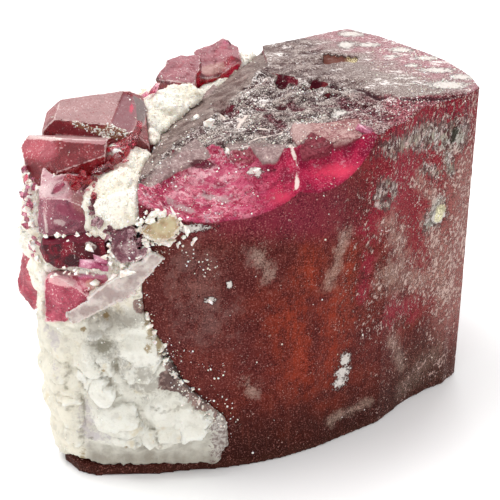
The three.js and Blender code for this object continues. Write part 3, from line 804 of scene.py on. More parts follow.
level_c = layers(level_c, [
    (step(patch, 0.5, 0.66) * 0.4, "a3968f"),
    (step(planes * 0.6 + splinters * 0.4, 0.4, 0.1) * (0.3 + read("stepped") * 0.7) * 0.4, "6a5652"),
    (step(stripe, 0.44, 0.38) * 0.3, "54393c"),
    (step(stripe, 0.57, 0.62) * 0.4, "c8b9b3"),
    # painted shade in the low places and at the feet of the ledges, painted highlight on the ledge lips
    (read("stepped") * step(read("relief") + sand * 0.2, 0.0, -0.3) * 0.6, "54403c"),
    (read("ledge_foot") * read("stepped") * 0.8, "38201f"),
    (read("ledge_lip") * read("stepped") * 0.6, "c4b6ae"),
    (step(ragged_rock, 0.56, 0.62) * 0.6, "dccac4"),
    (step(ragged_rock, 0.42, 0.37) * 0.7, "50303a"),
    (step(grit, 0.48, 0.38) * 0.7, "4c2028"),
    (step(grit + (patch - 0.5) * 0.2, 0.57, 0.64) * 0.35, "eadfdb"),
    (flat_dust * 0.85, "efe6e2"),
    (step(abs_pit, 0.16, 0.05) * 0.9, "2c1512"),
    (step(read("pit"), 0.06, -0.06) * 0.9,
     blend(step(x, 10.4, 11.2), "6a3a30", blend(step(grit, 0.45, 0.55), "7a5a30", "f0e4b8"))),
])
top_c = blend(step(read("level") + sand * 0.4, 0.12, -0.12), slope_c, level_c)
upward = step(read("up") + sand * 0.10, 0.42, 0.6) * step(z, 28, 29)
skin_c = blend(upward, body, top_c)

strands_flat = cloud((0.5, 0.3, 0.3), 87.0, 5.0, 0.8, turn=(0, 0.5, 0))
crystals = mosaic(0.4, 89.0)
torn = blend(step(read("chunk") * 0.8 + (crystals - 0.5) * 1.2 + sand * 0.8, -0.5, 0.5), "9c2c48", "c76a7e")
torn = layers(torn, [
    (step(fine + (patch - 0.5) * 0.6, 0.5, 0.66) * 0.75, blend(step(x, -3, 0), "dcb8be", "c08492")),
    (step(cloud(0.9, 33.0, 4.0, 0.7), 0.55, 0.66) * 0.6, "a08c92"),
    (step(grit + (patch - 0.5) * 0.4, 0.47, 0.36) * 0.8, "6d0f2c"),
    # painted shade in the hollows of the break
    (step(read("sunk") + sand * 0.1, 0.02, 0.16) * 0.7, "6a1030"),
    (step(x + sand * 2, -1.0, 1.8) * 0.6, blend(step(grit, 0.42, 0.6), "7c1234", "b23a5a")),
    (step(read("brown") + sand * 0.5, 1.1, 0.7) * 0.75, blend(step(fine, 0.4, 0.6), "642830", "9c5c60")),
    (step(read("pale") + ragged * 0.4, 1.3, 0.4) * 0.5, blend(step(crystals, 0.3, 0.9), "ac5068", "ecc2c8")),
    (step(cloud((1.6, 1.0, 1.0), 91.0, 3.0), 0.53, 0.60) * 0.6,
     blend(step(fine, 0.4, 0.6), "a02850", "bc4468")),
    (step(read("ashy") + ragged * 0.8, 1.6, 0.4) * 0.7, "b09a9a"),
    (step(strands_flat, 0.62, 0.67) * step(x, 0.5, -1.5) * 0.8, "ecd6d8"),
])
clear = blend(step(cloud((1.2, 1.2, 2.5), 35.0, 3.0), 0.38, 0.65), "7c1230", "ab2246")
clear = layers(clear, [
    (step(fine + (patch - 0.5), 0.62, 0.8) * 0.5, "cf909c"),
    (step(grit, 0.46, 0.38) * 0.5, "5c0c24"),
    (step(grit, 0.58, 0.66) * 0.4, "e08aa0"),
])
pink = blend(read("rough"), clear, torn)
# painted glow: the rims that the light gets into are made brighter pink
pink = blend(step(read("lit") + sand * 0.7, 1.1, 0.2) * 0.8, pink, blend(step(x, 4, 5), "c03452", "e0405f"))
is_pink = step(read("broken") + sand * 0.12, 0.3, 0.12)
skin_c = blend(is_pink, skin_c, pink)

satin_c = blend(step(fine + (patch - 0.5) * 0.6, 0.4, 0.7), "85706e", "b5a09c")
skin_c = blend(step(read("satin") + sand * 0.08, 0.06, -0.06) * 0.92, skin_c, satin_c)
wedge_c = blend(step(fine + (patch - 0.5) * 0.6, 0.38, 0.62), "885556", "be9a95")
wedge_c = layers(wedge_c, [
    (step(x + sand * 0.3, 6.3, 5.7) * 0.5, "c0a5a0"),
    (step(grit, 0.47, 0.38) * 0.4, "5c2c30"),
])
rim_line = r.sum("ABSOLUTE", read("wedge") + sand * 0.05)
crusty = read("white") + (cloud(0.34, 41.0, 5.0, 0.8) - 0.5) * 4.0
is_white = step(crusty, 1.1, 0.85)
specks = step(
    cloud(0.19, 51.0, 1.0) + (cloud(2.2, 53.0, 3.0) - 0.5) * 0.5 - step(x, 16, 6) * 0.035, 0.70, 0.76,
)
crumbs = step(cloud(0.45, 57.0, 4.0, 0.7) + (cloud(3.0, 59.0) - 0.5) * 0.35, 0.69, 0.74)
threads = step(read("thread") + sand * 0.9, 1.5, 0.8)
dust = r.sum("MAXIMUM", specks, crumbs)
skin_c = layers(skin_c, [
    (step(rim_line, 0.14, 0.04) * step(y, -7.5, -9.5) * 0.7, "5a2028"),
    (step(read("wedge") + sand * 0.05, 0.05, -0.05) * 0.95, wedge_c),
    (step(read("wedge_front") + sand * 0.05, 0.05, -0.05) * 0.92,
     blend(step(fine, 0.35, 0.65), "54141f", "863c46")),
    # dark red painted shade below the rim's facets and in the pits
    (step(read("dark") + sand * 0.6, 1.05, 0.7) * 0.85, "440c1a"),
    # painted shadow in a ring round the white crusts
    (step(crusty, 1.6, 1.2) * (1 - upward * 0.8) * 0.5, "2c1012"),
    (is_white * 0.92, blend(fine, "b8ada6", "f3eee8")),
    (step(read("cream") + ragged * 0.25, 1.2, 0.7) * 0.85,
     blend(step(grit, 0.42, 0.58), "b8ac88", "f2ecc0")),
    (dust * 0.85, blend(step(x + z * 0.4, 14, 24), "c0988e", blend(patch, "c9a8a0", "f2e4de"))),
    (threads * 0.85, blend(fine, "cdb6ac", "f8ece4")),
])

surface = r.node("ShaderNodeBsdfPrincipled", {}, {
    "Base Color": skin_c,
    "Roughness": 0.50 - is_pink * 0.2 + is_white * 0.3 - upward * 0.06,
    "Specular IOR Level": 0.06,
    "Normal": r.bump(grit * 0.5 + fine * 0.6 + upright * 0.4 + dust * 0.5 + is_white * 0.8, 0.10),
})
tourmaline = r.finish(surface)
dress(prism, tourmaline, "main_crystal")

# %% [markdown]
# ## The albite's shape
# Albite breaks along flat planes, so a lump of it looks like packed sugar cubes that have been
# rubbed: blocks, ledges and small hollows, chalky white. The solid's broad lumps are swollen a
# little to close the seam to the prism, then covered with blocks of two sizes and with leaves that
# overlap like shingles. On the far side the lumps are evened out first, so that only blocks show.

# %% Carve the albite
def gap_to(p, nodes):
    """Distance from each point to the nearest of some solids, in mm."""
    near = np.full(len(p), 99.0)
    for node in nodes:
        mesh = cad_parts[node].data
        tree = BVHTree.FromPolygons([v.co for v in mesh.vertices], [f.vertices for f in mesh.polygons])
        found = [tree.find_nearest(Vector((q + MIDDLE) / 1000), 0.003)[3] for q in p]
        near = np.minimum(near, [99.0 if d is None else d * 1000 for d in found])
    return near


ALBITE_SQUARE = 0.26  # mm
EVENING_ROUNDS = 70
albite = skin("albite_matrix", "albite", ALBITE_SQUARE)
p, n = points_of(albite), normals_of(albite)
seam = gap_to(p, [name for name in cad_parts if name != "albite_matrix"])
far_side = ease(p[:, 1], -15.5, -12) * ease(p[:, 2], 30, 27) * ease(p[:, 2], 0.4, 1.6) * ease(seam, 0.6, 1.6)
a, b, count = neighbours(albite)
evened = p.copy()  # the same skin with its round lumps taken off, for the far side
for _ in range(EVENING_ROUNDS):
    near = np.stack(
        [np.bincount(a, evened[b, k], len(p)) + np.bincount(b, evened[a, k], len(p)) for k in range(3)], 1,
    )
    evened = 0.5 * evened + 0.5 * near / count[:, None]
shift = (evened - p) * far_side[:, None]
p = p + shift
print("the far side is evened by up to", np.linalg.norm(shift, axis=1).max().round(2), "mm")
move_points(albite, p)
n = normals_of(albite)
bent = p + np.stack([hills(p, 2.2, s, 2) for s in (80, 81, 82)], 1) * 0.9
leaf = bent @ np.array(((0.80, 0, -0.60), (0, 1, 0), (0.60, 0, 0.80))).T
leftward = ease(p[:, 0], -16.5, -18.5) * ease(p[:, 2], 20, 17)
FOOT_LINE = ([-17, -16.4, -12.7, -9.1, -7.1, -3.8], [3.6, 3.9, 3.7, 3.7, 4.0, 5.3])
over_foot = p[:, 2] - np.interp(p[:, 0], *FOOT_LINE) + 0.25 * hills(p, 0.9, 3)
foot = ease(p[:, 1], -17.5, -18.6) * ease(over_foot, 0.12, -0.12)
foot *= ease(p[:, 0], -17.0, -16.2)
# The leaves of albite that stand out in front: outline in x and z, height
PLATES = [
    ([
        (-18.5, 16.6), (-15.7, 17.2), (-15.5, 15.3), (-14.9, 13.3), (-13.8, 11.6), (-13.1, 9.7),
        (-13.9, 8.9), (-15.4, 9.4), (-16.4, 10.4), (-16.9, 12.2), (-17.6, 14.5),
    ], 0.85),
    ([
        (-15.4, 16.0), (-14.4, 16.8), (-14.6, 15.2), (-13.1, 13.7), (-13.1, 12.3), (-14.1, 11.9),
        (-15.0, 14.3), (-15.6, 15.3),
    ], 0.45),
    ([
        (-13.2, 18.7), (-11.2, 19.7), (-9.6, 17.9), (-9.2, 15.2), (-8.8, 13.0), (-10.1, 11.7),
        (-11.7, 10.5), (-12.8, 12.3), (-13.1, 15.1),
    ], 0.55),
    ([(-15.5, 16.6), (-13.7, 18.8), (-13.3, 18.3), (-15.2, 15.9)], 0.8),
    ([(-19.6, 9.1), (-18.2, 9.9), (-16.9, 9.2), (-16.9, 8.5), (-17.8, 8.0), (-19.2, 8.1)], 0.7),
    ([(-16.3, 7.9), (-12.7, 8.8), (-11.0, 7.8), (-11.3, 6.3), (-13.5, 5.9), (-15.6, 5.8)], 0.75),
    ([(-14.9, 5.6), (-11.5, 6.4), (-9.5, 5.5), (-9.0, 4.0), (-11.1, 3.8), (-12.8, 4.1)], 0.5),
    ([
        (-9.9, 8.1), (-7.0, 9.0), (-5.0, 7.7), (-3.8, 6.8), (-4.5, 5.2), (-7.1, 3.9), (-9.0, 4.4),
        (-9.5, 6.0),
    ], 0.65),
    ([(-11.4, 10.1), (-9.6, 11.1), (-6.9, 9.6), (-6.0, 8.7), (-7.5, 8.2), (-10.2, 8.6)], 0.4),
    ([(-19.6, 14.8), (-18.2, 15.4), (-17.8, 12.2), (-18.4, 10.4), (-19.4, 10.6)], 0.4),
    ([(-18.6, 7.6), (-17.2, 7.4), (-16.8, 4.6), (-17.4, 3.4), (-18.4, 4.2)], 0.5),
]
shaken = (
    p[:, ::2]
    + np.stack([facets(p, 0.9, s) + hills(p, 1.6, s) + facets(p, 0.5, s) * 0.6 for s in (74, 75)], 1) * 0.3
)
front = ease(n[:, 1], 0.0, -0.4) * ease(p[:, 2], 21, 19)
# crease: a painted shadow line along the lower right edge of each leaf
plate, crease_shadow = np.zeros(len(p)), np.zeros(len(p))
for outline, height in PLATES:  # each rises towards its lower right edge, like a shingle
    middle, reach = np.mean(outline, 0), np.ptp(outline, 0).max() / 2
    rise = ease((p[:, ::2] - middle) @ (0.7, -0.7) / reach, -1.1, 0.7)
    inward = -to_outline(shaken, outline)
    plate = np.maximum(plate, height * (0.2 + 0.7 * rise) * ease(inward, -0.12, 0.18))
    crease_shadow = np.maximum(crease_shadow * (inward < 0.1), rise * np.exp(-(((inward + 0.12) / 0.2) ** 2)))
split = (1 - leftward) * blocks(leaf, (3.6, 3.2, 2.4), 70) + leftward * blocks(bent, (1.6, 1.6, 4.0), 71)
rise = leaf[:, 2] / 2.6 + 1.1 * hills(leaf, (4.5, 4.5, 3), 70, 2)
# Overlapping leaves, each with a sharp lower edge
leaves = (1 - leftward) * (ease(rise % 1, 0.88, 1.0) - rise % 1 + 0.5)
lift = (
    front * plate + (1 - 0.55 * front) * (0.10 + 0.48 * split + 0.40 * leaves)
    + (0.13 - 0.07 * front) * blocks(leaf, (1.5, 1.4, 1.1), 90)
)
lift += (
    (0.06 - 0.02 * front) * blocks(p, 0.65, 91) + 0.05 * hills(p, 0.5, 95, 2)
    + ease(p[:, 2], 20, 24) * (0.18 * facets(p, 0.6, 77) + 0.14 * blocks(p, 1.0, 78) - 0.3)
)
BORDER = ([1.6, 3.5, 5.4, 7.4, 7.9, 9.2, 10.0, 10.6, 11.9, 12.5, 14.5, 15.4, 17.0, 18.6, 19.0, 20.7],
          [-2.7, -2.2, -2.4, -3.8, -5.3, -6.0, -7.3, -8.9, -9.6, -8.2, -9.0, -8.4, -9.1, -9.6, -10.7, -11.1])
film = p[:, 0] - np.interp(p[:, 2], *BORDER) + 0.35 * facets(p, 0.8, 76)
film = np.where((p[:, 1] < -18) & (p[:, 2] < 20.5), film, -1.0)
lift = (1 - foot) * lift + foot * (0.05 + 0.05 * facets(p, 1.5, 97))
CAVITIES = [
    (-14.1, -20.4, 15.4, 1.2, 1.5, 1.4, 0.9), (-13.0, -20.6, 13.4, 0.5, 1.5, 1.3, 0.5),
    (-16.1, -20.2, 4.2, 0.45, 1, 0.4, 0.9), (-12.4, -20.9, 4.0, 0.3, 1, 0.25, 0.4),
    (-18.2, -19.6, 10.2, 0.4, 1, 0.5, 0.5), (-16.6, -20, 7.5, 0.3, 1, 1.8, 0.5),
]
for *middle, wide, deep, high, depth in CAVITIES:
    lift -= depth * ease(spotted(p, [(*middle, wide, deep, high)]) + 0.2 * hills(p, 0.7, 72), 1.1, 0.4)
lift = np.where(film > 0, np.minimum(lift, 0.3), lift)
lift = np.maximum(lift, ease(seam, 1.0, 0.5) * (0.34 + 0.16 * facets(p, 0.7, 93)))
lift = np.minimum(lift, 0.34 + 0.5 * seam)
p2 = p + n * lift[:, None]
p2[:, 2] = np.maximum(p2[:, 2], 0)
move_points(albite, p2)
print(
    "relief from", lift.min().round(2), "to", lift.max().round(2), "mm; points by a seam:",
    int((seam < 0.8).sum()),
)

# %% Keep notes for the albite's material
STAIN = [
    (-16.1, -19.8, 17.0, 0.35, 1, 0.35), (-13.7, -20.7, 18.9, 0.4, 1, 0.35),
    (-9.6, -20.4, 17.4, 0.5, 1, 1.1), (-10.0, -20.8, 15.4, 0.35, 1, 0.35),
    (-17.0, -19.4, 1.9, 0.4, 1.2, 1.2), (-12.4, -20.9, 3.9, 0.3, 1, 0.3), (-9.0, -20, 15.8, 0.3, 1, 1.6),
    (-10.2, -20.4, 18.2, 0.3, 1, 0.9), (-14.2, -20.6, 13.0, 0.3, 1, 0.3),
]
LILAC = [
    (-19.2, -19.0, 15.6, 0.7, 1.2, 1.1), (-16.3, -20.1, 6.2, 0.8, 1, 1.8), (-15.5, -20.3, 4.6, 1.6, 1, 0.8),
    (-19, -18.6, 12, 0.4, 1, 0.9),
]
LUMP = [(-3.0, -20.1, 5.9, 0.9, 1, 1.3), (-2.9, -20.1, 3.4, 1.0, 1, 2.4)]
# Painted grey shade under the blade and in the hollows between the leaves
GREY = [
    (-12.0, -20.8, 18.4, 1.9, 1, 0.8), (-13.8, -20.8, 18.9, 1.6, 1, 0.9), (-9.7, -20.8, 10.6, 2.0, 1, 1.2),
    (-10.5, -20.8, 12.5, 0.8, 1, 1.0), (-14.1, -20.4, 15.4, 1.6, 1.5, 1.5),
    (-12.5, -20.8, 13.2, 1.2, 1, 1.2),
]
for name, spots in (
    ("stain", STAIN), ("lilac", LILAC), ("grey", GREY), ("lump", LUMP), ("hole", [h[:6] for h in CAVITIES]),
):
    note(albite, name, spotted(p, spots))
# under: the line of painted grey shadow under the blade
note(albite, "under", streaked(p, [((-14.8, -20.9, 17.6), (-10.4, -20.6, 19.2), 1.3)]))
for name, values in (
    ("film", film), ("crease_shadow", crease_shadow * front), ("relief", lift), ("sunk", sunk(albite, lift)),
    ("foot", foot),
):
    note(albite, name, values)
print("notes on the albite:", [a.name for a in albite.data.attributes if a.domain == "POINT"])

# %% [markdown]
# ## The albite's finish
# Albite is white and matt, a little see-through at its edges, with cream and grey patches, brown
# iron stains in its cracks and a lilac tint of mica on the left. Its light and shade are painted
# from the relief that was just carved: painted shade in the hollows, cavities and low places and
# under the blade, a painted shadow line under each leaf's edge and a painted highlight on the ridges.

# %% Mix the albite's material
r = Recipe("albite")
step, read, blend, cloud, layers = (
    r.step, r.read, r.blend, r.cloud, r.layers,
)
x, y, z = (r.axis(k) for k in (0, 1, 2))
fine = cloud(0.35, 3.0, 4.0, 0.7)
middle = cloud(1.2, 12.0, 3.0)
broad = cloud(3.0, 8.0, 2.0)
sand = (fine - 0.5) * 1.2 + (middle - 0.5)
low = step(z, 21, 17)
white = blend(low, "fffaee", blend(step(x, -15, -18), "eceae0", "ebe5d4"))
white = layers(white, [
    (step(broad, 0.4, 0.62) * 0.5, blend(low, "f6ead4", "dad6c8")),
    (step(middle, 0.5, 0.66) * 0.35 * low, "b9b5a8"),
    # painted shade where the relief is low and in the cavities, painted highlight on the ridges
    (step(read("relief") + sand * 0.2, 0.1, -0.45) * 0.75, "8a8272"),
    (step(read("sunk") + sand * 0.12, 0.05, 0.35) * 0.6, "877d6c"),
    (step(read("sunk") + sand * 0.1, -0.05, -0.3) * 0.6, blend(low, "ffffff", "f6f6f0")),
    (step(cloud(2.2, 17.0, 3.0, 0.65), 0.58, 0.72) * 0.4, "c9b27e"),
    (step(fine, 0.56, 0.8) * 0.3, "a39c92"),
    (step(fine + (middle - 0.5) * 0.8, 0.50, 0.64) * (1 - low) * 0.35, "d8cbb0"),
    # painted shadow under the edges of the leaves
    (step(read("crease_shadow") + sand * 0.8, 0.3, 1.0) * 0.5, "8c8270"),
    # painted shadow under the blade
    (step(read("under") + sand * 0.8, 1.3, 0.2) * 0.55, "8a8276"),
    (read("foot") * 0.8, blend(step(middle, 0.35, 0.65), "a7a195", "cbc7bb")),
    # painted grey shade under the blade and in the hollows
    (step(read("grey") + sand * 3, 1.4, 0.1) * 0.65, "8f877b"),
    (read("foot") * step(z + sand, 3.4, 1.6) * 0.5, "857a6c"),
    (step(read("lump") + sand * 2, 1.2, 0.7) * 0.8, blend(step(fine, 0.4, 0.62), "6b5250", "c4bcb6")),
    (step(read("film") + sand * 0.6, -0.1, 0.2) * 0.9,
     blend(step(fine + (middle - 0.5), 0.42, 0.66), "4c1e1c", "93726a")),
    (step(read("lilac") + sand * 3, 1.3, 0.3) * 0.45, "a394a6"),
    (step(read("stain") + sand * 1.6, 1.1, 0.5) * 0.75, "8d7034"),
    # painted shade in the carved cavities
    (step(read("hole") + sand * 0.8, 0.8, 0.3) * 0.5, "6e684c"),
    (step(z + sand * 0.4, 1.5, 0.9) * 0.5, "7d6a5c"),
])
surface = r.node("ShaderNodeBsdfPrincipled", {}, {
    "Base Color": white,
    "Roughness": 0.5 + fine * 0.3,
    "Specular IOR Level": 0.4,
    "Subsurface Weight": 0.15,
    "Subsurface Radius": (1.0, 0.8, 0.6),
    "Subsurface Scale": 0.0006,
    "Normal": r.bump(fine + cloud(0.16, 4.0, 2.0) * 0.5, 0.16),
})
albite_white = r.finish(surface)
dress(albite, albite_white, "albite_matrix")

# %% [markdown]
# ## The small pink crystals
# The small crystals are clear pink to deep red inside and frosted outside. Light goes in through
# the frosting, loses everything but red on its way, and comes out through the far faces, which is
# why their undersides glow. So the clear part is a see-through shader with absorption in its
# volume, and the frosting is a second, opaque shader mixed over it wherever dust and etching lie.

# %% Mix the see-through pink
def rubellite(name, inside, thickness, frost, shade, cover, washes=(), flat="c9a8a8", side=0.5, panes=(),
              edges="ead6d2"):
    """Pink tourmaline. inside is the colour left after thickness mm of it, frost and shade are the
    light and dark of its frosting, cover is how much of the frosting there is, from 0 to 1, flat is
    the dusty colour of faces that look up, and washes and panes are colours of its spots and faces."""
    r = Recipe(name)
    fine = r.cloud(0.25, 3.0, 3.0, 0.65)
    grit = r.cloud(0.13, 7.0, 2.0, 0.6)
    lines = r.cloud((0.35, 0.35, 4.0), 6.0, 2.0)
    patch = r.cloud(1.6, 9.0, 3.0)
    sand = (fine - 0.5) * 1.2 + (patch - 0.5) * 0.8
    up = r.step(r.read("up"), 0.55, 0.9)
    coat_c = r.blend(r.step(patch + sand * 0.3, 0.38, 0.62), shade, frost)
    coat_c = r.blend(up * 0.85, coat_c, flat)
    coat_c = r.blend(r.step(fine, 0.44, 0.24) * 0.4, coat_c, shade)
    coat_c = r.blend(r.step(fine, 0.58, 0.78) * 0.45, coat_c, edges)
    over = cover + up * side + sand * 0.45
    masks = [r.step(r.read(f"pane{k}") + sand * 0.08, 0.08, -0.08) for k in range(len(panes))]
    masks += [r.step(r.read(f"wash{k}") + sand * 0.9, 1.1, 0.6) for k in range(len(washes))]
    for here, (colour, strength) in zip(masks, [*panes, *washes]):
        coat_c = r.blend(here * abs(strength), coat_c, colour)
        over = over + here * strength
    worn = r.step(r.read("edge") + sand * 0.35, 0.35, 0.75)
    coat_c = r.blend(worn * 0.6, coat_c, edges)
    holes = r.step(grit + (patch - 0.5) * 0.2, 0.38, 0.33)
    coat_c = r.blend(holes * 0.7, coat_c, shade)
    crumbs = r.step(grit + (patch - 0.5) * 0.4, 0.66, 0.72)
    coat_c = r.blend(crumbs * 0.8, coat_c, "f0e6e2")
    over = r.node("ShaderNodeClamp", {}, {0: over + worn * 0.35 + crumbs, 1: 0.0, 2: 1.0})
    normal = r.bump(fine * 0.7 + lines * 0.5 + grit * 0.4, 0.07)
    clear = r.node(
        "ShaderNodeBsdfPrincipled", {},
        {
            "Base Color": paint("ffe4ea"), "Roughness": 0.14, "IOR": 1.63, "Transmission Weight": 1.0,
            "Normal": normal,
        },
    )
    frosted = r.node("ShaderNodeBsdfPrincipled", {}, {
        "Base Color": coat_c, "Roughness": 0.42, "Specular IOR Level": 0.22, "Normal": normal})
    loss = [-math.log(c) * 1000 / thickness for c in paint(inside)[:3]]
    volume = r.node("ShaderNodeVolumeAbsorption", {}, {
        "Color": (*(1 - k / max(loss) for k in loss), 1), "Density": max(loss)})
    return r.finish(r.node("ShaderNodeMixShader", {}, {0: over, 1: clear, 2: frosted}), volume)


# %% Skin the small crystals
def sharpness(piece):
    """0 on a flat face and up to 1 on a sharp edge: how far each point stands out of its neighbours."""
    p = points_of(piece)
    a, b, count = neighbours(piece)
    out = ((p - total_round(a, b, p) / count[:, None]) * normals_of(piece)).sum(1)
    return np.clip(out / 0.03, 0, 1)


def small_crystal(node, name, square, wear, material, washes=(), panes=(),
                  bite=0.0, swell=0.04):
    """One small crystal: flat faces, worn edges, fine pits, bites out of it, and its spots of colour."""
    piece = skin(node, name, square)
    p, n = points_of(piece), normals_of(piece)
    for k, corners in enumerate(panes):
        p, edge = lay_flat(p, corners, 1.0)
        note(piece, f"pane{k}", edge)
    note(piece, "edge", sharpness(piece))
    lift = wear * (0.6 * facets(p, 0.8, 7) + 0.4 * hills(p, 0.4, 3, 2)) + swell
    if bite:
        lift += bite * (0.8 * blocks(p, (1.8, 1.8, 1.4), 31) + 0.3 * blocks(p, 0.8, 32) - 0.3)
    move_points(piece, p + n * lift[:, None])
    note(piece, "up", normals_of(piece)[:, 2])
    for k, spots in enumerate(washes):
        note(piece, f"wash{k}", (streaked if len(spots[0]) == 3 else spotted)(p, spots))
    dress(piece, material, node)
    return piece


RIM = [((-19.2, -9.9, 34.9), (-17.0, -10.4, 34.4), 0.22), ((-17.0, -10.4, 34.4), (-15.2, -10.3, 33.7), 0.3),
       ((-14.8, -10.2, 33.6), (-11.6, -9.8, 32.6), 0.5), ((-13.8, -10.1, 33.9), (-12.6, -9.9, 33.2), 0.5)]
small_crystal(
    "upper_left_crystals", "upper_left", 0.14, 0.03,
    rubellite(
        "rubellite", "e02850", 3.0, "a83640", "8c2630", 0.5,
        [
            ("f6ebe4", 0.7), ("5c2228", 0.6), ("8a6850", 0.8), ("e84464", 0.6), ("cda6a8", 0.6),
            ("cc7480", 0.4),
        ],
        # the two panes are painted shade and painted sheen: a darker pink face and a grey face
        flat="a88887", panes=[("8a5c62", 0.9), ("7e7573", 0.9)],
    ),
    washes=[
        [((-21.4, -12.6, 33.9), (-18.0, -13.9, 34.3), 0.3)],
        [((-19.4, -10.4, 34.3), (-14.5, -10.3, 32.9), 0.6)], RIM, [(-11.9, -6.2, 34.6, 0.25, 1.0, 0.6)],
        [((-17.6, -14.0, 34.2), (-13.9, -14.1, 34.0), 0.3)],
        [((-21.4, -13.4, 33.2), (-19.2, -14.0, 33.0), 1.3)],
    ],
    panes=[
        [
            (-12.9, -4.5, 35.2), (-11.9, -4.3, 35.0), (-11.5, -5.3, 34.3), (-11.4, -7.3, 33.5),
            (-11.8, -9.7, 33.1), (-12.8, -9.9, 33.3), (-13.6, -9.8, 34.1), (-13.1, -7.0, 34.9),
        ],
        [
            (-11.9, -4.2, 35.1), (-10.9, -3.6, 34.2), (-10.4, -4.5, 33.6), (-10.7, -7.0, 33.0),
            (-11.3, -8.3, 33.1), (-11.4, -7.0, 33.6), (-11.5, -5.3, 34.4),
        ],
    ],
)
small_crystal(
    "middle_left_crystal", "middle_left", 0.14, 0.08,
    rubellite(
        "pale_rubellite", "e85a7c", 3.0, "b86a7a", "9c5064", 0.65,
        [("e4cccb", 0.6), ("d9cec6", 0.6), ("8c5a54", 0.7), ("7a2840", 0.6)], flat="c8a2a6",
    ),
    washes=[
        [((-19.2, -17.4, 30.4), (-17.6, -16.8, 30.6), 0.9)],
        [
            ((-19.3, -18.2, 29.2), (-19.2, -18.4, 26.6), 0.22),
            ((-18.2, -18.4, 27.6), (-17.6, -18.4, 27.4), 0.4),
        ],
        [((-16.2, -17.6, 30.2), (-15.8, -17.7, 28.9), 0.9)],
        [((-17.6, -18.2, 28.9), (-15.9, -18.2, 28.0), 0.6)],
    ],
    bite=0.2,
)
small_crystal(
    "hollow_left_crystal", "hollow_left", 0.14, 0.06,
    rubellite(
        "deep_rubellite", "b80c34", 1.2, "7c0c24", "3e0412", 0.95, [("efe4dc", 0.8), ("480816", 0.8)],
        flat="6a122a", side=0.2, edges="84243c",
    ),
    washes=[
        [
            ((-16.6, -19.5, 26.2), (-16.5, -19.7, 24.4), 0.12),
            ((-15.2, -19.6, 25.9), (-14.7, -19.6, 25.6), 0.3),
            ((-17.4, -19.7, 24.0), (-14.4, -20.0, 24.3), 0.16),
        ],
        # the dark wash on its right is painted shade of the recess it sits in
        [((-16.0, -19.6, 25.4), (-14.4, -19.6, 24.8), 0.8)],
    ],
    bite=0.2,
)
small_crystal(
    "lower_left_crystals", "lower_left", 0.14, 0.06,
    rubellite(
        "rose_rubellite", "e85884", 3.0, "d85c74", "bc3c58", 0.6,
        [("ecd0cc", 0.6), ("d884b8", 0.4), ("c8a890", 0.6)], flat="e0b0b6",
    ),
    washes=[
        [
            ((-18.9, -19.8, 22.2), (-17.0, -20.0, 21.9), 0.4),
            ((-19.3, -20.2, 21.8), (-19.3, -20.4, 18.4), 0.15),
        ],
        [((-16.0, -19.4, 22.6), (-14.0, -19.6, 22.7), 0.5)],
        [((-15.2, -20.0, 21.9), (-14.2, -20.3, 21.6), 0.5)],
    ],
    bite=0.2,
)
small_crystal(
    "left_edge_crystal", "left_edge", 0.12, 0.06,
    rubellite("edge_rubellite", "ec5078", 2.0, "e87080", "cc4866", 0.4, [("e8ddd2", 0.6)]),
    washes=[[(-21.3, -14.9, 19.3, 0.4, 1, 0.7)]], bite=0.2,
)
small_crystal(
    "rear_crystals", "rear", 0.16, 0.08,
    rubellite(
        "rear_rubellite", "e02850", 3.0, "a83c4e", "781c30", 0.35, [("b8988c", 0.6)], flat="a4666e",
        side=0.4,
    ),
    washes=[[((-4.6, 5.6, 34.4), (-2.8, 7.2, 34.6), 0.9)]], bite=0.32,
)
small_crystal(
    "corroded_left_crystal", "corroded_left", 0.12, 0.16,
    rubellite("eaten_rubellite", "d8506c", 3.0, "c8a6a8", "824656", 0.75), bite=0.3,
)

# %% Blade and grain
def grainy(name, dull, bright, vein):
    """A finish for one grain of feldspar: two soft colours, a fine grain and a little light inside."""
    r = Recipe(name)
    fine = r.cloud(0.3, 3.0, 4.0, 0.7)
    colour = r.blend(r.step(r.cloud(1.0, 5.0, 3.0), 0.35, 0.65), dull, bright)
    colour = r.blend(r.step(fine, 0.54, 0.72) * 0.7, colour, vein)
    colour = r.blend(r.step(r.read("edge"), 0.3, 0.8) * 0.5, colour, "efe9e2")
    return r.finish(r.node("ShaderNodeBsdfPrincipled", {}, {
        "Base Color": colour, "Roughness": 0.38, "Subsurface Weight": 0.2, "Subsurface Scale": 0.001,
        "Normal": r.bump(fine, 0.12)}))


grey_albite = grainy("grey_albite", "a8948f", "d2c5be", "8c7671")
small_crystal("albite_blade", "blade", 0.16, 0.12, grey_albite, swell=0.28)
tan_feldspar = grainy("tan_feldspar", "a98c68", "c0b08c", "e6dcc4")
small_crystal("feldspar_grain", "feldspar", 0.14, 0.12, tan_feldspar, swell=0.2)

# %% [markdown]
# ## Chips and rubble
# The seams between the crystals are packed with chips: clear red slivers under the two upper
# crystals, pink and magenta ones by the lower, and chalky crumbs of albite everywhere. A chip is
# the convex hull of a few random points in a long or round lump, which gives flat, sharp faces
# at once. Each is placed by the spot where it lies and sunk into what carries it.

# %% Set the chips
TO_FRONT = np.array((0, -0.89, 0.45))  # the way a chip stands out of what carries it
CORNERS = 15  # random points in a chip, most of which end up on its hull


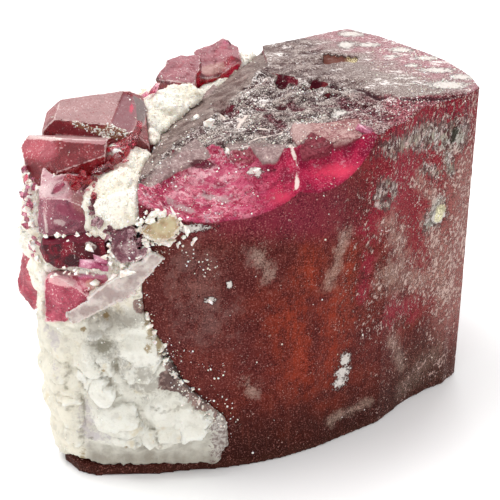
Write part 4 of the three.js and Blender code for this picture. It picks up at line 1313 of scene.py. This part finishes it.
def chip(shape, start, end, wide, seed, out=0.2):
    """Adds one chip to a bmesh: from start to end, in mm, and wide at its middle."""
    random = np.random.default_rng(seed)
    start, end = np.array(start, float), np.array(end, float)
    run, middle = end - start, (start + end) / 2 + TO_FRONT * out
    corners = []
    for _ in range(CORNERS):
        way = random.normal(size=3)
        way *= random.uniform(0.75, 1.0) / np.linalg.norm(way)
        corner = middle + way * wide + run * 0.5 * np.clip(random.normal() * 0.8, -1, 1)
        corners.append(shape.verts.new((corner + MIDDLE) / 1000))
    bmesh.ops.convex_hull(shape, input=corners)
    loose = [v for v in corners if not v.link_faces]
    bmesh.ops.delete(shape, geom=loose, context="VERTS")


def chips(name, material, listed):
    """One piece from a list of chips, each given by its two ends and its width, in mm."""
    shape = bmesh.new()
    for seed, (start, end, wide) in enumerate(listed):
        chip(shape, start, end, wide, seed)
    bmesh.ops.recalc_face_normals(shape, faces=shape.faces)
    piece = placed(name, bpy.data.meshes.new(name))
    shape.to_mesh(piece.data)
    shape.free()
    note(piece, "up", normals_of(piece)[:, 2])
    note(piece, "edge", np.full(len(piece.data.vertices), 0.2))
    dress(piece, material, None, smooth=False)
    return piece


r = Recipe("sugar")
glint = r.cloud(0.4, 2.0, 2.0)
sugar_white = r.finish(r.node("ShaderNodeBsdfPrincipled", {}, {
    "Base Color": r.blend(r.step(glint, 0.35, 0.65), "e0d3c6", "fdfaf4"),
    "Roughness": 0.35,
    "Specular IOR Level": 0.5,
    "Subsurface Weight": 0.2,
    "Subsurface Scale": 0.0004,
}))


def scattered(line, count, wide, seed, stray=0.5):
    """Chips strewn along a line of spots, no larger than wide, and straying from it by stray widths."""
    random, line = np.random.default_rng(seed), np.array(line)
    listed = []
    for t in np.linspace(0, len(line) - 1.001, count):
        spot = line[int(t)] + t % 1 * (line[int(t) + 1] - line[int(t)]) + random.normal(size=3) * wide * stray
        listed.append((spot, spot + random.normal(size=3) * wide * 0.7, wide * random.uniform(0.45, 0.9)))
    return listed


red_glass = rubellite(
    "red_chips", "f42440", 1.4, "c8303e", "9c1828", 0.1, side=0.1, flat="cc3a48", edges="dc6468",
)
pink_glass = rubellite("pink_chips", "f078a4", 1.0, "cf6c8c", "a04468", 0.2, side=0.3)
RED_SEAM = [
    (-10.8, -8.0, 33.0), (-11.3, -9.8, 32.6), (-12.0, -10.6, 31.9), (-12.4, -12.6, 31.9),
    (-13.3, -13.7, 31.4), (-14.7, -14.3, 30.7), (-15.9, -15.5, 30.5), (-17.2, -16.2, 30.8),
]
chips(
    "red_slivers", red_glass,
    [(np.add(a, TO_FRONT * 0.5), np.add(b, TO_FRONT * 0.5), 0.66) for a, b in zip(RED_SEAM, RED_SEAM[1:])]
    + scattered(np.add(RED_SEAM, TO_FRONT * 0.7), 22, 0.52, 4)
    + scattered([(-14.9, -16.4, 30.2), (-14.6, -17.8, 29.6)], 6, 0.4, 14)
    + [
        ((-21.4, -13.9, 31.2), (-21.5, -14.4, 29.6), 0.3),
        ((-14.6, -15.4, 30.2), (-14.9, -16.3, 29.9), 0.5),
        ((-13.4, -12.2, 32.2), (-12.2, -11.6, 32.3), 0.7),
        ((-13.9, -10.9, 31.9), (-12.3, -10.3, 32.6), 0.75),
        ((-13.5, -11.6, 31.6), (-12.6, -10.9, 32.2), 0.6),
        ((-13.6, -13.4, 31.8), (-12.4, -12.9, 31.8), 0.7),
    ],
)
chips(
    "pink_chips", pink_glass,
    [
        ((-21.5, -14.6, 29.1), (-21.3, -15.0, 28.4), 0.5),
        ((-21.0, -15.8, 28.6), (-21.0, -16.0, 28.0), 0.45),
        ((-21.8, -14.8, 26.4), (-21.5, -15.2, 25.6), 0.45),
        ((-20.6, -11.2, 32.6), (-20.9, -12.6, 32.2), 0.8), ((-10.2, -1.2, 34.2), (-9.6, 0.4, 34.4), 0.5),
        ((-11.2, -1.0, 33.8), (-10.6, -0.4, 34.0), 0.35), ((-18.9, -17.4, 30.2), (-17.6, -16.6, 30.6), 0.5),
        ((10.9, -11.2, 34.2), (12.2, -11.4, 33.9), 0.5),
    ]
    + scattered([(-21.4, -14.6, 28.6), (-21.2, -16.0, 26.6), (-20.6, -16.6, 23.4)], 12, 0.5, 15)
    + scattered([(-21.5, -14.2, 31.2), (-20.6, -15.4, 30.0)], 5, 0.4, 19),
)
magenta_glass = rubellite("magenta_chips", "f470a4", 1.0, "e49cb4", "b84c74", 0.7, side=0.3, flat="ecc8d2")
chips(
    "magenta_chips", magenta_glass,
    [
        ((-16.0, -19.8, 24.0), (-14.0, -19.9, 23.9), 0.55),
        ((-14.7, -19.9, 24.6), (-13.4, -20.0, 24.3), 0.5),
        ((-14.4, -20.0, 23.8), (-13.4, -20.1, 23.6), 0.4), ((10.6, -11.0, 34.3), (12.2, -11.9, 33.7), 0.55),
    ],
)
chips(
    "albite_chips", sugar_white,
    [
        ((-9.6, -20.5, 28.0), (-9.3, -20.6, 27.3), 0.5), ((-9.5, -20.5, 28.4), (-8.9, -20.4, 29.0), 0.5),
        ((-8.8, -20.3, 29.2), (-7.8, -20.1, 29.3), 0.45), ((-9.6, -20.3, 27.9), (-9.0, -20.4, 27.0), 0.6),
        ((-8.6, -20.3, 26.6), (-7.0, -20.3, 26.4), 0.5), ((-9.6, -20.3, 26.2), (-9.3, -20.4, 25.2), 0.5),
        ((-9.9, -20.2, 28.9), (-8.4, -20.2, 29.4), 0.5), ((-12.3, -21.0, 23.4), (-10.7, -21.1, 24.0), 0.45),
        ((-13.2, -20.6, 22.8), (-12.4, -20.8, 23.2), 0.45),
        ((-6.1, -20.2, 28.0), (-5.6, -20.1, 27.2), 0.45),
        ((-14.9, -20.0, 22.2), (-14.1, -20.2, 21.9), 0.45), ((-5.3, -4.0, 32.6), (-5.7, -4.2, 32.6), 0.4),
        ((-4.3, -7.3, 33.1), (-3.8, -7.1, 33.2), 0.5), ((-2.3, -11.5, 32.4), (-2.1, -11.8, 31.8), 0.25),
        ((0.2, -14.2, 30.9), (0.9, -14.2, 31.2), 0.22), ((-15.2, -19.9, 25.8), (-14.8, -20.0, 25.5), 0.4),
        ((-18.3, -19.0, 26.6), (-17.9, -19.0, 26.5), 0.35), ((-3.9, -20.0, 20.2), (-3.6, -20.0, 19.9), 0.3),
    ]
    + scattered(
        [
            (-9.8, -20.4, 18.9), (-9.0, -20.3, 15.4), (-7.6, -20.0, 12.4), (-5.9, -20.0, 9.7),
            (-4.2, -20.0, 6.8),
        ],
        26, 0.42, 5,
    )
    + scattered([(-12.6, -20.6, 23.6), (-9.8, -20.7, 25.4)], 9, 0.4, 6)
    + scattered([(-10.2, -20.2, 29.0), (-9.6, -20.4, 26.2), (-5.0, -20.0, 26.6)], 22, 0.35, 7)
    + scattered([(-13.0, -18.6, 27.6), (-14.6, -18.9, 26.6), (-18.6, -18.8, 26.3)], 14, 0.28, 8, 1.0)
    + scattered([(-18.6, -19.9, 23.1), (-13.6, -20.2, 23.4)], 14, 0.28, 9, 1.0)
    + scattered(
        [
            (-10.0, -20.6, 28.2), (-9.4, -20.6, 29.4), (-7.4, -20.1, 29.4), (-6.4, -20.4, 28.4),
            (-7.0, -20.4, 26.8), (-9.4, -20.6, 26.9),
        ],
        40, 0.32, 11,
    )
    + scattered([(-20.9, -15.6, 29.2), (-21.2, -16.2, 26.6), (-20.4, -17.0, 23.0)], 14, 0.5, 12)
    + scattered([(-21.4, -14.2, 31.0), (-20.8, -15.2, 30.2), (-19.8, -16.8, 30.4)], 12, 0.3, 17)
    + scattered([(-13.1, -20.2, 26.9), (-13.1, -20.4, 24.6)], 12, 0.36, 18)
    + scattered([(-14.0, -17.6, 29.6), (-12.6, -19.8, 28.0)], 12, 0.36, 13),
)
chips(
    "eaten_chips", rubellite("eaten_chips", "c8385c", 3.0, "b48c94", "6a2838", 0.6, side=0.2),
    scattered([(-13.2, -19.8, 27.6), (-10.4, -20.4, 27.6), (-10.2, -20.5, 25.0)], 18, 0.42, 10)
    + scattered([(-14.8, -18.2, 29.3), (-14.4, -19.0, 28.0), (-12.8, -20.2, 27.4)], 16, 0.48, 16),
)

# %% [markdown]
# ## Sugar
# Fine grains of albite lie along every seam and all over the eaten slope, thousands of them. That
# is work for Geometry Nodes: grains are strewn on a copy of the piece below, as thickly as a
# number kept on its points says, each one turned and sized at random. The grain itself is a ball of
# twenty flat faces, so that thousands stay light.

# %% Build the tree that strews grains
FULL_TURN = 6.283  # radians


def strewing_tree():
    """Geometry Nodes that strew grains on a mesh, turn and size them, and make them real."""
    tree = bpy.data.node_groups.new("strewn_grains", "GeometryNodeTree")
    for name, kind in (
        ("Ground", "Geometry"), ("Grains", "Float"), ("Smallest", "Float"), ("Largest", "Float"),
        ("Seed", "Int"), ("Finish", "Material"),
    ):
        tree.interface.new_socket(name, in_out="INPUT", socket_type="NodeSocket" + kind)
    tree.interface.new_socket("Strewn", in_out="OUTPUT", socket_type="NodeSocketGeometry")

    def node(kind, settings=None, sockets=None):
        return add_node(tree, kind, settings, sockets)

    given = node("NodeGroupInput")
    thickly = node("GeometryNodeInputNamedAttribute", {"data_type": "FLOAT"}, {"Name": "sugar"})
    density = node("ShaderNodeMath", {"operation": "MULTIPLY"}, {0: thickly["Attribute"], 1: given["Grains"]})
    spread = node("GeometryNodeDistributePointsOnFaces", {}, {
        "Mesh": given["Ground"], "Density": density[0], "Seed": given["Seed"]})
    ball = node("GeometryNodeMeshIcoSphere", {}, {"Radius": 0.5, "Subdivisions": 1})
    size = node("FunctionNodeRandomValue", {"data_type": "FLOAT"}, {
        2: given["Smallest"], 3: given["Largest"], "Seed": given["Seed"]})
    turn, squash = (
        node("FunctionNodeRandomValue", {"data_type": "FLOAT_VECTOR"}, {
            0: (low,) * 3, 1: (high,) * 3, "Seed": int(high * 10)})
        for low, high in ((0.0, FULL_TURN), (0.3, 1.4))
    )
    grain_size = node("ShaderNodeVectorMath", {"operation": "SCALE"}, {0: squash[0], "Scale": size[1]})
    grains = node("GeometryNodeInstanceOnPoints", {}, {
        "Points": spread["Points"], "Instance": ball["Mesh"], "Rotation": turn[0], "Scale": grain_size[0]})
    real = node("GeometryNodeRealizeInstances", {}, {0: grains[0]})
    finish = node("GeometryNodeSetMaterial", {}, {"Geometry": real[0], "Material": given["Finish"]})
    node("NodeGroupOutput", {}, {"Strewn": finish[0]})
    return tree


def strew(name, ground, sugar, grains, smallest, largest, seed, material):
    """Strews grains on a piece, as many on each square mm as grains times the sugar of its points."""
    note(ground, "sugar", sugar)
    piece = placed(name, ground.data.copy())
    strewn = piece.modifiers.new("grains", "NODES")
    strewn.node_group = STREWING
    socket = {item.name: item.identifier for item in STREWING.interface.items_tree if item.in_out == "INPUT"}
    for key, value in (
        ("Grains", grains * 1e6), ("Smallest", smallest / 1000), ("Largest", largest / 1000),
        ("Seed", seed), ("Finish", material),
    ):
        strewn[socket[key]] = value
    settle(piece)
    dress(piece, material, None, smooth=False)
    return piece


STREWING = strewing_tree()
print("the tree has", len(STREWING.nodes), "nodes")

# %% Strew the sugar
p, n = points_of(prism), normals_of(prism)
by_albite = (
    ease(gap_to(p, ["albite_matrix", "feldspar_grain", "albite_blade"]), 1.6, 0.3) * ease(p[:, 1], 0, -6)
)
snowy = (
    top * (1 - fresh) * ease(level, -0.2, 0.4) * (1 - 0.85 * calm) * ease(hills(p, 2.6, 88, 2), -0.25, 0.35)
)
flaky = top * ease(level, 0.0, -0.5) * ease(p[:, 0] + 3 * hills(p, 2.5, 89, 2), 10, 20) * 0.35
torn_sugar = fresh * rough * 0.35 * ease(hills(p, 1.6, 87, 2), -0.2, 0.3) + fresh * 0.015
DRIFTS = [
    ((-7.6, -20.2, 27.9), (-2.2, -19.4, 28.3), 0.5), ((-8.4, -20.2, 25.8), (-3.6, -19.8, 23.4), 1.3),
    ((-7.4, -20, 14.4), (-3.4, -19.7, 12.0), 1.2), ((-3.6, -19.8, 9.6), (-1.6, -19, 6.0), 0.9),
]
drifts = ease(streaked(p, DRIFTS) + 0.8 * hills(p, 0.9, 85, 2), 1.2, 0.1) * side
by_albite *= ease(p[:, 2], 3.0, 4.5)
strew(
    "prism_sugar", prism, by_albite * 0.35 + drifts * 0.4 + snowy * 0.5 + flaky + torn_sugar + side * 0.004,
    10, 0.06, 0.24, 3, sugar_white,
)
p, n = points_of(albite), normals_of(albite)
outside = ease(n[:, 2], -0.5, -0.1) * ease(seam, 0.3, 0.45)
snow = ease(p[:, 2], 22, 25) * (0.3 + 2.0 * ease(n @ TO_FRONT, 0.2, 0.6))
strew(
    "albite_sugar", albite, outside * (1 - foot) * (0.8 * ease(seam, 1.6, 0.5) + snow + 0.03), 9, 0.06,
    0.26, 5, sugar_white,
)
for name, thick in (
    ("upper_left", 0.03), ("middle_left", 0.5), ("hollow_left", 0.06), ("lower_left", 0.3),
    ("left_edge", 0.3), ("rear", 0.12), ("corroded_left", 1.2), ("feldspar", 0.5),
):
    ground = bpy.data.objects[name]
    p, n = points_of(ground), normals_of(ground)
    on_rim = 4.0 * ease(streaked(p, RIM) + 0.5 * hills(p, 0.5, 83), 1.2, 0.5) if name == "upper_left" else 0
    strew(
        name + "_sugar", ground,
        thick * ease(hills(p, 1.1, 86, 2), -0.2, 0.4) * ease(n[:, 2], -0.6, 0.2) + on_rim, 8, 0.06,
        0.30 if name == "upper_left" else 0.24, 7, sugar_white,
    )

# %% [markdown]
# ## The table
# A sheet of white paper, larger than the view.

# %% Lay the paper
bpy.ops.mesh.primitive_plane_add(size=3)
floor = bpy.context.object
floor.name = "paper"
r = Recipe("paper")
floor.data.materials.append(
    r.finish(
        r.node(
            "ShaderNodeBsdfPrincipled", {},
            {
                "Base Color": r.blend(r.cloud(40.0, 2.0), "fbfbfb", "fefefe"), "Roughness": 0.9,
                "Specular IOR Level": 0.1,
            },
        ),
    ),
)
